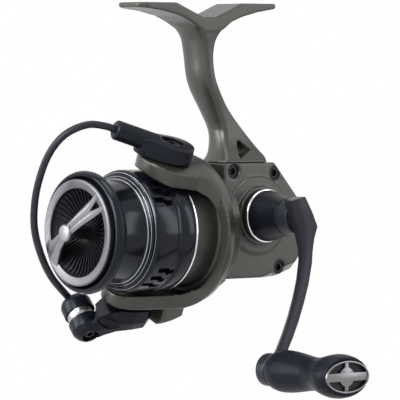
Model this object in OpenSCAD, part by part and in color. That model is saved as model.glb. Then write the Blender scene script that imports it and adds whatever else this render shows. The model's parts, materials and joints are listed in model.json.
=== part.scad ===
// Open-face spinning reel. Millimetres, +Z up. Origin: centre of the foot's rod contact face.
// The spool faces -X, the handle is on the -Y side.

/* [Foot and stem] */
// Length of the foot along the rod
foot_length = 56.4; // [50:0.2:68]
// Width of the foot
foot_width = 13.5; // [11:0.1:16]
// Half length of the notch in the foot's top
notch_half = 13.4; // [9:0.1:18]
// Depth of the notch in the foot's top
notch_depth = 5.2; // [2:0.1:6]
// Thickness of the foot at its ends
foot_tip = 1.6; // [1.2:0.1:2.4]
// Half width of the stem
stem_half = 6; // [4:0.1:8]
// Foot face to the spool axis
axis_drop = 72.6; // [70:0.1:90]

/* [Gear case] */
// Half width of the gear case
case_half = 13; // [12.5:0.1:18]
// Wall of the gear case
case_wall = 1.6; // [1.2:0.1:2.2]
// Drive axis behind the foot's centre
drive_x = 15; // [14:0.1:18]
// Drive axis above the spool axis
gear_offset = 4.3; // [4.2:0.1:6]
// Height of the seam between frame and side cover, above the spool axis
seam_rise = 21.2; // [20.6:0.1:24]
// Radius of the side cover's bearing boss
boss_r = 8.6; // [8:0.1:11]

/* [Drive] */
// Teeth on the pinion
pinion_teeth = 10; // [10:1:10]
// Teeth on the face gear, ten to the pinion's one share of 4.8
face_teeth = 48; // [48:1:48]
// Pitch radius of the pinion
pinion_pitch_r = 2.6; // [2.5:0.05:2.7]
// Radius of the drive gear's journal on the handle side
journal_r = 3.5; // [3:0.1:4]
// Radius of the drive tube beside the main shaft
tube_r = 2.5; // [2.2:0.1:2.6]
// Module of the crosswind gears
wind_module = 0.7; // [0.6:0.05:0.75]
// Teeth on the drive tube for the crosswind
wind_pinion_teeth = 12; // [12:1:12]
// Teeth on the crosswind gear
wind_gear_teeth = 24; // [24:1:24]
// Spool travel, front to back
stroke = 9; // [6:0.5:9]

/* [Spool and shaft] */
// Radius of the main shaft
shaft_r = 1.5; // [1.2:0.1:1.8]
// Radius of the spool's front lip
lip_r = 19.5; // [17:0.1:20.4]
// Radius of the spool's line surface
arbour_r = 16.2; // [14:0.1:17]
// Radius of the spool's skirt
skirt_r = 19.5; // [18:0.1:20]
// Length of the spool's skirt
skirt_length = 16.4; // [12:0.1:18]
// Radius of the drag knob
drag_r = 16.9; // [14:0.1:17.4]

/* [Rotor and bail] */
// Radius of the rotor's rim
rim_r = 24.2; // [23:0.1:26]
// Distance from the spool axis to each arm's outer face
arm_face = 25.2; // [24:0.1:27]
// Thickness of the rotor arms
arm_wall = 4.3; // [3.4:0.1:4.6]
// Turn of the rotor at rest about the spool axis
rotor_turn = 23; // [0:1:90]
// Bail pivots in front of the foot's centre
pivot_front = 20; // [17:0.1:22]
// Turn of the bail at rest
bail_turn = 20; // [10:1:30]
// Radius of the bail wire
wire_r = 1.2; // [0.8:0.05:1.4]
// Radius of the line roller
roller_r = 4.3; // [3:0.1:4.4]

/* [Handle] */
// Handle axis to knob axis, rearward part
knob_x = -5.2; // [-12:0.1:0]
// Drop from the drive axis to the knob axis
knob_drop = 46.9; // [38:0.1:56]
// Distance from the centre plane to the handle arm's outer face at the hub
hub_face = 36.6; // [34:0.1:42]
// Distance from the centre plane to the arm's outer face at the knob
boss_face = 45.4; // [44:0.1:48]
// Length of the knob
knob_length = 33; // [26:0.5:40]

/* [Fits] */
// Running clearance on a shaft or pin
run_gap = 0.05; // [0.03:0.01:0.08]
// Clearance between bodies that pass each other
pass_gap = 0.35; // [0.3:0.05:0.5]

/* [Hidden] */
$fn = 96;

olive = "#4b4a42";
dark = "#1b1c20";
black = "#101114";
silver = "#c9cbd0";
steel = "#9a9da2";
brass = "#b49a5a";

spool_z = -axis_drop;
drive_z = spool_z + gear_offset;
seam_z = spool_z + seam_rise;
knob_z = drive_z - knob_drop;
rim_back = -3.2;
flange_front = -2.6;
flange_back = 2.2;
flange_r = seam_rise - 0.7;
cover_split = -3;
face_pitch = pinion_pitch_r * face_teeth / pinion_teeth;
mesh_x = drive_x - face_pitch;
wind_small_r = wind_module * wind_pinion_teeth / 2;
wind_big_r = wind_module * wind_gear_teeth / 2;
wind_reach = wind_small_r + wind_big_r;
wind_angle = -41;
wind_x = drive_x + wind_reach * cos(wind_angle);
wind_z = drive_z + wind_reach * sin(wind_angle);
pin_throw = stroke / 2;
slider_x = wind_x - pin_throw;
slider_bottom = wind_z - pin_throw - 1.5;
bore_gap = 0.06;
skirt_back = -15;
skirt_front = skirt_back - skirt_length;
lip_x = skirt_front - 14.6;
face_x = lip_x - 2.6;

// Places for parts that turn about the spool axis, the drive axis and so on.
module on_spool_axis() { translate([0, 0, spool_z]) children(); }
module on_rotor() { translate([0, 0, spool_z]) rotate([rotor_turn, 0, 0]) children(); }
module on_bail() { on_rotor() translate([-pivot_front, 0, 0]) rotate([0, 0, -bail_turn]) children(); }
module on_drive_axis() { translate([drive_x, 0, drive_z]) rotate([-90, 0, 0]) children(); }
module on_knob_axis() { translate([knob_x, 0, knob_z]) rotate([90, 0, 0]) children(); }

// A solid turned about X from [x, radius] points.
module turned_x(points) {
    rotate([0, 90, 0]) rotate_extrude() polygon([for (p = points) [p[1], p[0]]]);
}

// A round bar or tube along X.
module ring_x(x0, x1, r, hole = 0) {
    translate([x0, 0, 0]) rotate([0, 90, 0]) ring(x1 - x0, r, hole);
}

// A round bar or tube along Z from the origin.
module ring(height, r, hole = 0) {
    difference() {
        cylinder(h = height, r = r);
        if (hole > 0) translate([0, 0, -1]) cylinder(h = height + 2, r = hole);
    }
}

// A plate between two Y planes with an outline in X and Z.
module plate_y(y0, y1) {
    translate([0, y1, 0]) rotate([90, 0, 0]) linear_extrude(height = y1 - y0) children();
}

// Moves every edge of a convex, clockwise or anticlockwise outline inwards by d.
function turn_of(p) = let (n = len(p))
    sign([for (i = 0, s = 0; i <= n; s = s + cross(p[i % n], p[(i + 1) % n]), i = i + 1) s][n]);
function edge_line(a, b, d, w) = let (v = (b - a) / norm(b - a), m = [-v[1], v[0]] * w)
    [m[0], m[1], m * a + d];
function meet(l, k) = let (q = l[0] * k[1] - l[1] * k[0])
    [(l[2] * k[1] - l[1] * k[2]) / q, (l[0] * k[2] - l[2] * k[0]) / q];
function inset(p, d) = let (n = len(p), w = turn_of(p))
    [for (i = [0:n - 1]) meet(edge_line(p[(i + n - 1) % n], p[i], d, w),
        edge_line(p[i], p[(i + 1) % n], d, w))];

// A closed skin over rings of points, each ring with the same number of points.
function total(v, i = 0) = i == len(v) - 1 ? v[i] : v[i] + total(v, i + 1);
function ring_normal(r) = total([for (i = [0:len(r) - 1]) cross(r[i] - r[0], r[(i + 1) % len(r)] - r[0])]);
function reversed(v) = [for (i = [len(v) - 1:-1:0]) v[i]];
module skin(rings) {
    m = len(rings[0]);
    last = len(rings) - 1;
    step = total(rings[1]) - total(rings[0]);
    outward = ring_normal(rings[0]) * step > 0 ? rings : [for (r = rings) reversed(r)];
    polyhedron(points = [for (r = outward) each r],
        faces = concat([[for (j = [0:m - 1]) j]],
            [for (i = [0:last - 1]) for (j = [0:m - 1]) each [
                [i * m + j, (i + 1) * m + j, (i + 1) * m + (j + 1) % m],
                [i * m + j, (i + 1) * m + (j + 1) % m, i * m + (j + 1) % m]]],
            [[for (j = [m - 1:-1:0]) last * m + j]]));
}

// A smooth curve through hand-placed stations, t from 0 to the number of stations less one.
function station(s, i) = s[max(0, min(len(s) - 1, i))];
function along(s, t) = let (i = min(floor(t), len(s) - 2), f = t - i, a = station(s, i - 1),
    b = station(s, i), c = station(s, i + 1), d = station(s, i + 2))
    0.5 * (2 * b + (c - a) * f + (2 * a - 5 * b + 4 * c - d) * f * f + (3 * b - a - 3 * c + d) * f * f * f);
function blend(s, steps) = [for (k = [0:(len(s) - 1) * steps]) along(s, k / steps)];

// Foot, stem and gear case ------------------------------------------------------------------

// Stem sections from top to bottom: [z, front edge of the side facet, rear, half width towards the
// handle, nose depth, front edge on the far side, half width on the far side].
stem_stations = [
    [-4.4, -7.6, 9, 6.7, 1.6, -7.6, 6.6], [-7.4, -4.4, 7, 6.7, 2, -4.2, 6.5], [-10.6, -1.9, 4, 6.5, 2.2, -1.7, 6.1],
    [-14, -0.7, 2.8, 6.2, 2.6, -0.6, 6.0], [-18.3, 0, 2.6, 6.0, 2.6, 0.1, 6.0],
    [-23.5, 0.6, 3.4, 6.0, 2.6, 0.8, 5.9], [-28, 2, 5.4, 5.8, 2.6, 2.3, 5.6], [-34.4, 5.6, 9.6, 5.3, 2.7, 5.9, 5.0],
    [-40.9, 8, 15.2, 5.6, 2.9, 9.4, 4.5], [-46.4, 6.5, 19.2, 7.7, 3.2, 10.4, 4.6],
    [-49.4, 4.9, 20.8, 10.1, 3.6, 10.2, 5], [-51, 4.1, 20.6, 11.3, 4, 9.4, 6.6], [-53.3, 4, 20.6, 11.6, 4, 8, 9]];

// The stations are drawn for this height of the seam, and stretch with the real one.
drawn_seam = -51.4;
stem_stretch = seam_z / drawn_seam;

function stem_ring(s) = let (w = s[3] * stem_half / 6, far = s[6] * stem_half / 6, z = s[0] * stem_stretch)
    concat([[s[2], far * 0.8, z], [s[2] - 0.5, far, z]],
        [for (a = [90:15:270]) let (f = (1 + sin(a)) / 2)
            [s[1] + (s[5] - s[1]) * f + s[4] * cos(a), (a < 180 ? far : w) * sin(a), z]],
        [[s[2] - 0.5, -w, z], [s[2], -w * 0.8, z]]);

module foot() {
    half = foot_length / 2;
    intersection() {
        plate_y(-foot_width / 2, foot_width / 2) polygon([
            [-half, 0], [-notch_half, 0], [-1.4, -notch_depth + 0.2], [0, -notch_depth],
            [1.4, -notch_depth + 0.2], [notch_half, 0], [half, 0], [half, -foot_tip],
            [20, -2.9], [13.5, -4.5], [9.2, -6.1], [6, -8.4], [2, -9], [-2, -9], [-4.6, -7.8],
            [-8, -5.9], [-12, -4.2], [-19, -2.7], [-half, -foot_tip]]);
        translate([0, 0, -10]) linear_extrude(height = 10) polygon([
            [-half, -foot_width / 2 + 2], [-half + 2.4, -foot_width / 2],
            [half - 1, -foot_width / 2], [half, -foot_width / 2 + 0.8],
            [half, foot_width / 2 - 0.8], [half - 1, foot_width / 2],
            [-half + 2.4, foot_width / 2], [-half, foot_width / 2 - 2]]);
    }
}

// Outline of the gear case in X and Z below the seam.
case_outline = [[flange_back - 1, seam_z], [26.4, seam_z], [35.4, seam_z - 10.4],
    [38.6, spool_z + 0.6], [38, spool_z - 7.4], [33.4, spool_z - 13.8], [27, spool_z - 15.9],
    [flange_back - 1, spool_z - 15.9]];
cavity_outline = inset(case_outline, case_wall);
post_r = 2.5;
screw_spots = [[5.4, seam_z - 2.6], [22.8, seam_z - 3.4], [24.6, slider_bottom - post_r - pass_gap]];
// The case's rear edges carried past its top and bottom, which the side cover's slant follows.
rear_outline = [[-60, seam_z + 40], [-8.2, seam_z + 40], [35.4, seam_z - 10.4], [38.6, spool_z + 0.6],
    [38, spool_z - 7.4], [33.4, spool_z - 13.8], [-60, spool_z - 44.4]];
slant_start = -6.6;
slant_end = -13.6;
slant = 4;
function rear_ring(y, d) = [for (p = inset(rear_outline, d)) [p[0], y, p[1]]];
module rear_slant(d) {
    skin([rear_ring(4, d - 0.3), rear_ring(slant_start, d - 0.3), rear_ring(slant_end, d + slant)]);
}

post_top = 2.8;

module case_slab(y0, y1) { plate_y(y0, y1) polygon(case_outline); }
module cavity(y0, y1) { plate_y(y0, y1) polygon(cavity_outline); }
module screw_posts(y0, y1) {
    for (s = screw_spots) translate([s[0], y1, s[1]]) rotate([90, 0, 0]) cylinder(h = y1 - y0, r = post_r);
}
module screw_holes(y0, y1, r) {
    for (s = screw_spots) translate([s[0], y1, s[1]]) rotate([90, 0, 0]) cylinder(h = y1 - y0, r = r);
}

clutch_case_r = 12.6;
clutch_case_front = -14;

module body_frame() {
    color(olive) difference() {
        union() {
            foot();
            skin([for (s = blend(stem_stations, 3)) stem_ring(s)]);
            case_slab(cover_split, case_half);
            on_spool_axis() ring_x(flange_front, flange_back, flange_r);
            on_spool_axis() ring_x(clutch_case_front, flange_front + 1, clutch_case_r);
            on_drive_axis() translate([0, 0, case_half - 1]) cylinder(h = 2.4, r = 9);
            intersection() {
                screw_posts(cover_split, post_top);
                case_slab(cover_split, case_half);
            }
        }
        difference() {
            cavity(cover_split - 20, case_half - case_wall);
            screw_posts(cover_split, post_top);
            on_drive_axis() translate([0, 0, 8.4]) cylinder(h = 10, r = 6.6);
            guide_blocks();
            crosswind_boss();
        }
        // The face gear's room, which reaches into the round front flange.
        on_drive_axis() translate([0, 0, -11.4]) cylinder(h = 9.6, r = gear_room_r);
        // Seat of the side cover.
        cover_room();
        on_drive_axis() translate([0, 0, 8.6]) cylinder(h = 3.4, r = 5);
        on_drive_axis() translate([0, 0, 5]) cylinder(h = 20, r = 3.1);
        // Clutch seat, pinion bearing seat and the pinion's way through.
        on_spool_axis() ring_x(clutch_case_front - 1, clutch_case_front + 7.2, 10.5);
        on_spool_axis() ring_x(clutch_case_front + 7, flange_front + 1.4, 6.5);
        on_spool_axis() ring_x(flange_front, flange_back + 3, 4.1);
        screw_holes(cover_split - 1, cover_split + 9, 1.1);
        crosswind_hole();
        guide_hole();
        // Recess in the side facet of the stem's root, as deep as the facet leans.
        scale([1, 1, stem_stretch]) skin([
            [[11.8, -5.3, -44], [15.8, -6.7, -47.3], [9.4, -9, -50.2]],
            [[11.8, -16, -44], [15.8, -16, -47.3], [9.4, -16, -50.2]]]);
    }
}

module guide_blocks() {
    translate([guide_x0 - 1, -2.1, spool_z - 15]) cube([3, 5, 8.6]);
    translate([guide_x1 - 2, -2.1, spool_z - 14]) cube([3, 5, 7.6]);
}
guide_z = spool_z - 8.4;
guide_y = -0.9;
guide_r = 0.8;
guide_x0 = 3.6;
guide_x1 = 33.4;
module guide_hole() { translate([0, guide_y, guide_z]) ring_x(guide_x0, guide_x1, guide_r); }
module guide_rod() { color(steel) guide_hole(); }

module crosswind_boss() {
    translate([wind_x, case_half, wind_z]) rotate([90, 0, 0]) cylinder(h = case_half - 7.2, r = 3);
}
module crosswind_hole() {
    translate([wind_x, case_half - 1, wind_z]) rotate([90, 0, 0]) cylinder(h = case_half - 7, r = 1.25);
}

// Where the side cover lies against the frame.
module cover_room() {
    plate_y(-case_half - 4, cover_split) polygon(case_outline);
}
cover_face = case_half - 0.6;
module side_cover() {
    color(olive) difference() {
        union() {
            intersection() {
                case_slab(-cover_face, cover_split);
                rear_slant(0);
            }
            on_drive_axis() translate([0, 0, -15.2]) cylinder(h = 5, r = boss_r + 0.8);
            on_drive_axis() translate([0, 0, -cover_face - 0.9]) cylinder(h = 3, r = 12.4);
        }
        difference() {
            intersection() {
                cavity(-cover_face + case_wall, cover_split + 1);
                rear_slant(case_wall + 0.5);
            }
            screw_posts(-case_half, cover_split);
            on_drive_axis() translate([0, 0, -cover_face]) cylinder(h = cover_face - 8.4, r = 8);
        }
        on_drive_axis() translate([0, 0, -13]) cylinder(h = 6, r = 6.5);
        on_drive_axis() translate([0, 0, -20]) cylinder(h = 10, r = 4.4);
        on_drive_axis() translate([0, 0, -8.3]) cylinder(h = 8, r = gear_room_r);
        screw_holes(-case_half - 1, cover_split + 1, 1.25);
        screw_holes(-case_half - 3, -case_half + 3.4, 2.3);
        // Parting lines of the face.
        plate_y(-case_half, -cover_face + 0.4) polygon([[17.4, seam_z - 1], [18, seam_z - 1],
            [15, seam_z - 5.4], [14.4, seam_z - 5.4]]);
        on_drive_axis() translate([0, 0, -cover_face - 1]) difference() {
            cylinder(h = 0.5, r = 11.4);
            translate([0, 0, -1]) cylinder(h = 2, r = 11);
        }
    }
}

module cover_screws() {
    color(black) for (s = screw_spots) translate([s[0], -case_half + 3.4, s[1]]) rotate([90, 0, 0]) {
        difference() {
            cylinder(h = 1.9, r = 2.2);
            translate([0, 0, 0.9]) cylinder(h = 2, r = 1.15, $fn = 6);
        }
        translate([0, 0, -11]) cylinder(h = 11.2, r = 1.1);
    }
}

module drive_bearing_near() {
    color(steel) on_drive_axis() translate([0, 0, -12.9]) ring(3, 6.5, journal_r + run_gap);
}
module drive_bearing_far() {
    color(steel) on_drive_axis() translate([0, 0, 8.7]) ring(3, 5, tube_r + run_gap);
}
module far_side_cap() {
    color(olive) on_drive_axis() translate([0, 0, case_half + 1.4]) difference() {
        union() {
            cylinder(h = 1.2, r = 8);
            translate([0, 0, -1.2]) cylinder(h = 1.3, r = 3.1);
            translate([0, 0, 1.2]) cylinder(h = 0.8, r1 = 8, r2 = 7);
        }
        translate([0, 0, 1.4]) ring(1, 5.4, 4.9);
        translate([-4.4, -0.6, 1.5]) cube([8.8, 1.2, 1]);
    }
}
module pinion_bearing() {
    color(steel) on_spool_axis() ring_x(clutch_case_front + 7.2, clutch_case_front + 10.2, 6.5, pinion_shank_r + run_gap);
}
module clutch_ring() {
    color(steel) on_spool_axis() ring_x(clutch_case_front + 1, clutch_case_front + 7, 10.5, 7.9);
}
clutch_roller_r = 1.1;
clutch_roller_ring = 6.6;
module clutch_rollers() {
    color(silver) on_spool_axis() for (k = [0:5]) rotate([60 * k, 0, 0])
        translate([0, clutch_roller_ring, 0]) ring_x(clutch_case_front + 1.8, clutch_case_front + 6.2, clutch_roller_r);
}
module clutch_cage() {
    color(dark) on_spool_axis() difference() {
        ring_x(clutch_case_front + 1.2, clutch_case_front + 6.8, 7.9, 5.35);
        for (k = [0:5]) rotate([60 * k, 0, 0]) translate([0, clutch_roller_ring, 0])
            ring_x(clutch_case_front + 1.8, clutch_case_front + 6.2, clutch_roller_r);
    }
}
module clutch_retainer() {
    color(steel) on_spool_axis() ring_x(clutch_case_front - 0.1, clutch_case_front + 1, 10.5, 5.8);
}

// Drive train -------------------------------------------------------------------------------

face_tip_y = -2.45;
face_root_y = -4.1;
face_inner = face_pitch - 0.85;
face_outer = face_pitch + 0.85;
disc_r = norm([face_outer, gear_offset]) + 0.2;
gear_room_r = disc_r + 0.5;
disc_back_y = -6.2;

function gear_points(teeth, m, shrink = 0.06) = let (r = teeth * m / 2)
    [for (i = [0:teeth - 1]) for (q = [[-0.31, r - 1.2 * m], [-0.22, r - 0.15 * m], [-0.12, r + 0.95 * m],
        [0.12, r + 0.95 * m], [0.22, r - 0.15 * m], [0.31, r - 1.2 * m]])
        let (a = 360 * (i + q[0] - shrink * sign(q[0]) / (m * 3)) / teeth) [q[1] * cos(a), q[1] * sin(a)]];

module drive_gear() {
    color(brass) {
        on_drive_axis() difference() {
            union() {
                translate([0, 0, -15.6]) cylinder(h = 9.6, r = journal_r);
                translate([0, 0, disc_back_y - 1.4]) cylinder(h = 1.8, r = 7);
                translate([0, 0, disc_back_y]) cylinder(h = face_root_y - disc_back_y, r = disc_r);
                translate([0, 0, disc_back_y]) cylinder(h = 18, r = tube_r);
                translate([0, 0, 3.6]) linear_extrude(height = 2.4) rotate([0, 0, wind_phase])
                    polygon(gear_points(wind_pinion_teeth, wind_module));
                for (k = [0:face_teeth - 1]) rotate([0, 0, 360 * k / face_teeth]) face_tooth_up();
            }
            translate([0, 0, -17]) cylinder(h = 40, r = 1.7);
            for (k = [0:5]) rotate([0, 0, 60 * k + 10]) translate([9.4, 0, disc_back_y - 1]) cylinder(h = 4, r = 1.5);
        }
    }
}
wind_phase = -wind_angle;

// A face gear tooth in the drive axis frame. Its line passes the gear's centre at the pinion's offset.
module face_tooth_up() {
    translate([-face_outer, gear_offset, 0]) rotate([90, 0, 90]) linear_extrude(height = face_outer - face_inner)
        polygon([[-0.4, face_root_y - 0.2], [0.4, face_root_y - 0.2], [0.12, face_tip_y], [-0.12, face_tip_y]]);
}

collar_front = 17.6;
collar_seam = 28;
module handle_shaft() {
    color(steel) on_drive_axis() difference() {
        union() {
            translate([0, 0, -collar_seam]) cylinder(h = 38, r = 1.65);
            translate([0, 0, -collar_seam]) cylinder(h = 11.4, r = 2.6);
        }
        translate([0, 0, 8]) cylinder(h = 3, r = 0.8);
    }
}
module collar_ring() {
    color(silver) on_drive_axis() translate([0, 0, -collar_front]) ring(1.3, boss_r, 2.6);
}
module handle_collar() {
    color(black) on_drive_axis() rotate_extrude() polygon([[2.6, -collar_front], [8.1, -collar_front],
        [8.0, -19], [7.5, -20.8], [6.9, -23], [6.4, -25.4], [6.1, -collar_seam], [2.6, -collar_seam]]);
}

// Arm stations from hub to knob: [x, z, outer face y, half width].
hub_x = drive_x;
arm_stations = [[15.2, drive_z - 3, hub_face, 5.0], [16, drive_z - 8, hub_face + 0.1, 3.3],
    [15.2, drive_z - 14, hub_face + 0.9, 2.7], [11.6, drive_z - 23, hub_face + 3, 2.5],
    [6.2, drive_z - 32.6, hub_face + 5.6, 2.6], [-0.6, drive_z - 42.4, boss_face - 0.8, 3.2],
    [knob_x, knob_z, boss_face, 4.2]];
arm_depth = 3.4;
function arm_ring(s, t) = let (a = along(s, max(0, t - 0.02)), b = along(s, min(len(s) - 1, t + 0.02)),
    c = along(s, t), v = [b[0] - a[0], b[1] - a[1]] / norm([b[0] - a[0], b[1] - a[1]]), n = [-v[1], v[0]])
    [for (k = [0:30:330]) let (p = [c[0], c[1]] + n * c[3] * cos(k))
        [p[0], -c[2] + arm_depth / 2 * (1 - sin(k)), p[1]]];

module handle_arm() {
    steps = 4;
    color(black) difference() {
        union() {
            skin([for (k = [0:(len(arm_stations) - 1) * steps]) arm_ring(arm_stations, k / steps)]);
            plate_y(-hub_face, -hub_face + 4.6) polygon([[hub_x - 6.2, drive_z + 5.2],
                [hub_x + 0.3, drive_z + 6.8], [hub_x + 5.4, drive_z - 3.4], [hub_x + 4, drive_z - 9.6],
                [hub_x - 2, drive_z - 9.2]]);
            on_drive_axis() translate([0, 0, -hub_face + 1]) cylinder(h = hub_face - 1 - collar_seam, r = 5.2);
            on_knob_axis() translate([0, 0, boss_face - 4.4]) cylinder(h = 4.4, r = 5.2);
        }
        on_drive_axis() translate([0, 0, -hub_face + 3]) cylinder(h = 10, r = 1.7);
        on_knob_axis() translate([0, 0, boss_face - 6]) cylinder(h = 20, r = axle_r);
    }
}

axle_r = 1.5;
knob_start = boss_face + 0.5;
knob_end = knob_start + knob_length;
module knob_axle() {
    color(steel) on_knob_axis() difference() {
        union() {
            translate([0, 0, boss_face - 4.4]) cylinder(h = knob_length - 2.6, r = axle_r);
            translate([0, 0, boss_face]) cylinder(h = 0.3, r = 2.6);
        }
        translate([0, 0, boss_face + knob_length - 13]) cylinder(h = 10, r = 0.7);
    }
}
module knob_screw() {
    color(steel) on_knob_axis() {
        translate([0, 0, boss_face + knob_length - 7]) cylinder(h = 1.2, r = 2.3);
        translate([0, 0, boss_face + knob_length - 12.9]) cylinder(h = 6, r = 0.7);
    }
}
module knob_bearings() {
    color(steel) on_knob_axis() for (z = [knob_start + 0.9, boss_face + knob_length - 9.9])
        translate([0, 0, z]) ring(2.4, 3.2, axle_r + run_gap);
}

// Knob sections: [distance from the inner end, half width along X, half height, squareness].
knob_stations = [[0, 5.2, 5.2], [1, 6.2, 6.1], [5, 7.0, 6.7], [11, 6.5, 6.2], [17, 5.8, 5.3],
    [21, 6.4, 5.3], [25, 8.4, 6.2], [28.6, 9.6, 6.9], [31.4, 9.4, 6.6], [33, 8.8, 6.0]];
function knob_ring(s) = let (k = s[0] * knob_length / 33)
    [for (a = [0:15:345]) [s[1] * cos(a), s[2] * sin(a), knob_start + k]];
module knob_grip() {
    color(black) difference() {
        on_knob_axis() skin([for (s = blend(knob_stations, 2)) knob_ring(s)]);
        on_knob_axis() translate([0, 0, knob_start - 1]) cylinder(h = 4.3, r = 3.2);
        on_knob_axis() translate([0, 0, knob_start - 1]) cylinder(h = knob_length - 6, r = 2);
        on_knob_axis() translate([0, 0, boss_face + knob_length - 9.9]) cylinder(h = 20, r = 3.2);
        on_knob_axis() oval_bar(knob_end - 1.6, 4, 1);
    }
}
bezel_x = 8.4;
bezel_z = 5;
module oval_bar(z, h, k) {
    translate([0, 0, z]) linear_extrude(height = h)
        polygon([for (a = [0:7.5:352.5]) [bezel_x * k * cos(a), bezel_z * k * sin(a)]]);
}
module knob_bezel() {
    color(silver) on_knob_axis() difference() {
        oval_bar(knob_end - 1.6, 2, 1);
        oval_bar(knob_end - 3, 5, 0.9);
    }
}
module knob_insert() {
    color(steel) on_knob_axis() union() {
        intersection() {
            oval_bar(knob_end - 1.6, 1.2, 0.9);
            union() {
                translate([-9, -1.1, 0]) cube([18, 2.2, 100]);
                translate([-0.7, -6, 0]) cube([1.4, 12, 100]);
                cylinder(h = 100, r = 2.6);
            }
        }
        oval_bar(knob_end - 1.6, 0.4, 0.9);
    }
}

module crosswind_gear() {
    color(brass) translate([wind_x, 0, wind_z]) rotate([-90, 0, 0]) difference() {
        union() {
            translate([0, 0, 3.6]) linear_extrude(height = 2.4) rotate([0, 0, wind_gear_phase])
                polygon(gear_points(wind_gear_teeth, wind_module));
            translate([-pin_throw, 0, 3.1]) cylinder(h = 0.6, r = 1);
        }
        translate([0, 0, 3]) cylinder(h = 4, r = 1.25 + run_gap);
    }
}
// The axis frame has +Y down the picture, so the gear's partner lies at the mirrored angle.
wind_gear_phase = 180 - wind_angle + 180 / wind_gear_teeth;
module crosswind_axle() {
    color(steel) translate([wind_x, 0, wind_z]) rotate([-90, 0, 0]) {
        translate([0, 0, 3.3]) cylinder(h = 8.6, r = 1.25);
    }
}

// Rotor and pinion --------------------------------------------------------------------------

pinion_shank_r = 3;
pinion_bore = shaft_r + bore_gap;
core_front = -17.4;
hub_length = 2.9;
pinion_front = core_front - 2.8;
pinion_back = mesh_x + 1.8;
module pinion_gear() {
    color(brass) on_spool_axis() difference() {
        union() {
            ring_x(pinion_front, mesh_x - 1.6, pinion_shank_r);
            translate([mesh_x - 1.8, 0, 0]) rotate([0, 90, 0]) linear_extrude(height = 3.6)
                rotate([0, 0, pinion_phase]) polygon(pinion_points());
        }
        ring_x(pinion_front - 1, pinion_back + 1, pinion_bore);
    }
}
pinion_phase = 90 + 18;
function pinion_points() = let (r = pinion_pitch_r)
    [for (i = [0:pinion_teeth - 1]) for (q = [[-9.5, r - 0.68], [-8, r - 0.2], [-4.4, r + 0.58],
        [4.4, r + 0.58], [8, r - 0.2], [9.5, r - 0.68]])
        let (a = 360 * i / pinion_teeth + q[0]) [q[1] * cos(a), q[1] * sin(a)]];

module clutch_sleeve() {
    color(steel) on_spool_axis() ring_x(core_front + hub_length, clutch_case_front + 7, 5.35 - pass_gap, pinion_shank_r);
}

core_r = 15;
web = 1.6;
module rotor() {
    color(olive) on_rotor() difference() {
        union() {
            rotor_cup();
            rotor_arms();
            ring_x(core_front, core_front + hub_length, 6);
        }
        ring_x(core_front - 5, 5, pinion_shank_r);
        // Pivot bores in the two arms.
        translate([-pivot_front, 0, -40]) cylinder(h = 80, r = pivot_r);
        // Pocket for the bail spring, inside the lower arm.
        spring_pocket();
        translate([-pivot_front + 8.6, 0, -arm_face - 1]) cylinder(h = 4, r = 0.9);
    }
}
pivot_r = 1.6;
module rotor_cup() {
    turned_x([[rim_back, clutch_case_r + 0.8], [rim_back, rim_r - 1.4], [rim_back - 0.6, rim_r - 0.3],
        [rim_back - 1.6, rim_r], [rim_back - 3.2, rim_r - 0.2], [rim_back - 3.6, rim_r - 1.4],
        [rim_back - 2.6, rim_r - 2.8], [rim_back - 1.6, core_r + 2.6], [rim_back - 2.2, core_r],
        [core_front, core_r - 0.6], [core_front, pinion_shank_r], [core_front + web, pinion_shank_r],
        [core_front + web, core_r - web - 0.4], [rim_back - 2, core_r - web]]);
}
// The arms are the parts of a thick round wall inside this plan, seen along the pivots.
module arm_plan() {
    translate([-pivot_front, 0]) circle(r = 9.6);
    polygon([[-pivot_front, -9.6], [-14, -10.4], [-10.6, -12.6], [-8.2, -16.4], [-6.9, -rim_r],
        [rim_back - 1.8, -rim_r], [rim_back - 1.8, rim_r], [-6.9, rim_r], [-8.2, 16.4],
        [-10.6, 12.6], [-14, 10.4], [-pivot_front, 9.6]]);
}
module rotor_arms() {
    intersection() {
        turned_x([[rim_back - 1.2, rim_r - 0.1], [rim_back - 4, arm_face - 0.1], [-9, arm_face + 0.3],
            [-32, arm_face + 0.3], [-32, arm_face - arm_wall], [-9, arm_face - arm_wall],
            [rim_back - 3, rim_r - 3]]);
        translate([0, 0, -40]) linear_extrude(height = 80) arm_plan();
        translate([-40, -40, -arm_face]) cube([60, 80, arm_face * 2]);
    }
}
module spring_pocket() {
    translate([-16.6, 1.6, -arm_face - 1]) cube([9.2, 4.6, 4]);
}
module spring_cover() {
    color(olive) on_rotor() difference() {
        intersection() {
            translate([0, 8.1, 0]) rotate([90, 0, 0]) linear_extrude(height = 16.2) polygon([
                [-pivot_front + 8, -arm_face - 4.6], [-pivot_front + 8, -arm_face - 0.02],
                [rim_back - 2.6, -arm_face - 0.02], [rim_back - 2.6, -arm_face - 0.6]]);
            rotate([0, 90, 0]) translate([0, 0, -40]) cylinder(h = 80, r = arm_face + 4.8);
        }
        translate([-pivot_front, 0, -40]) cylinder(h = 20, r = 7.6 + pass_gap);
        translate([-pivot_front + 8.6, 0, -40]) cylinder(h = 20, r = 0.9);
        translate([-17, 1.6, -arm_face - 1]) cube([9.6, 4.6, 1.1]);
    }
}
module cover_pin() {
    color(black) on_rotor() translate([-pivot_front + 8.6, 0, -arm_face - 4.2]) cylinder(h = 5.2, r = 0.9);
}
module bail_spring() {
    color(steel) on_rotor() translate([-15.9, 3.9, -arm_face + 1.55]) rotate([0, 90, 0]) ring(5.2, 1.3, 0.9);
}
module spring_guide() {
    color(black) on_rotor() translate([-16.4, 3.9, -arm_face + 1.55]) rotate([0, 90, 0]) {
        cylinder(h = 0.5, r = 1.4);
        cylinder(h = 7, r = 0.6);
    }
}
module rotor_nut() {
    color(steel) on_rotor() ring_x(core_front - 2.6, core_front, 5.2, pinion_shank_r);
}
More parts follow.
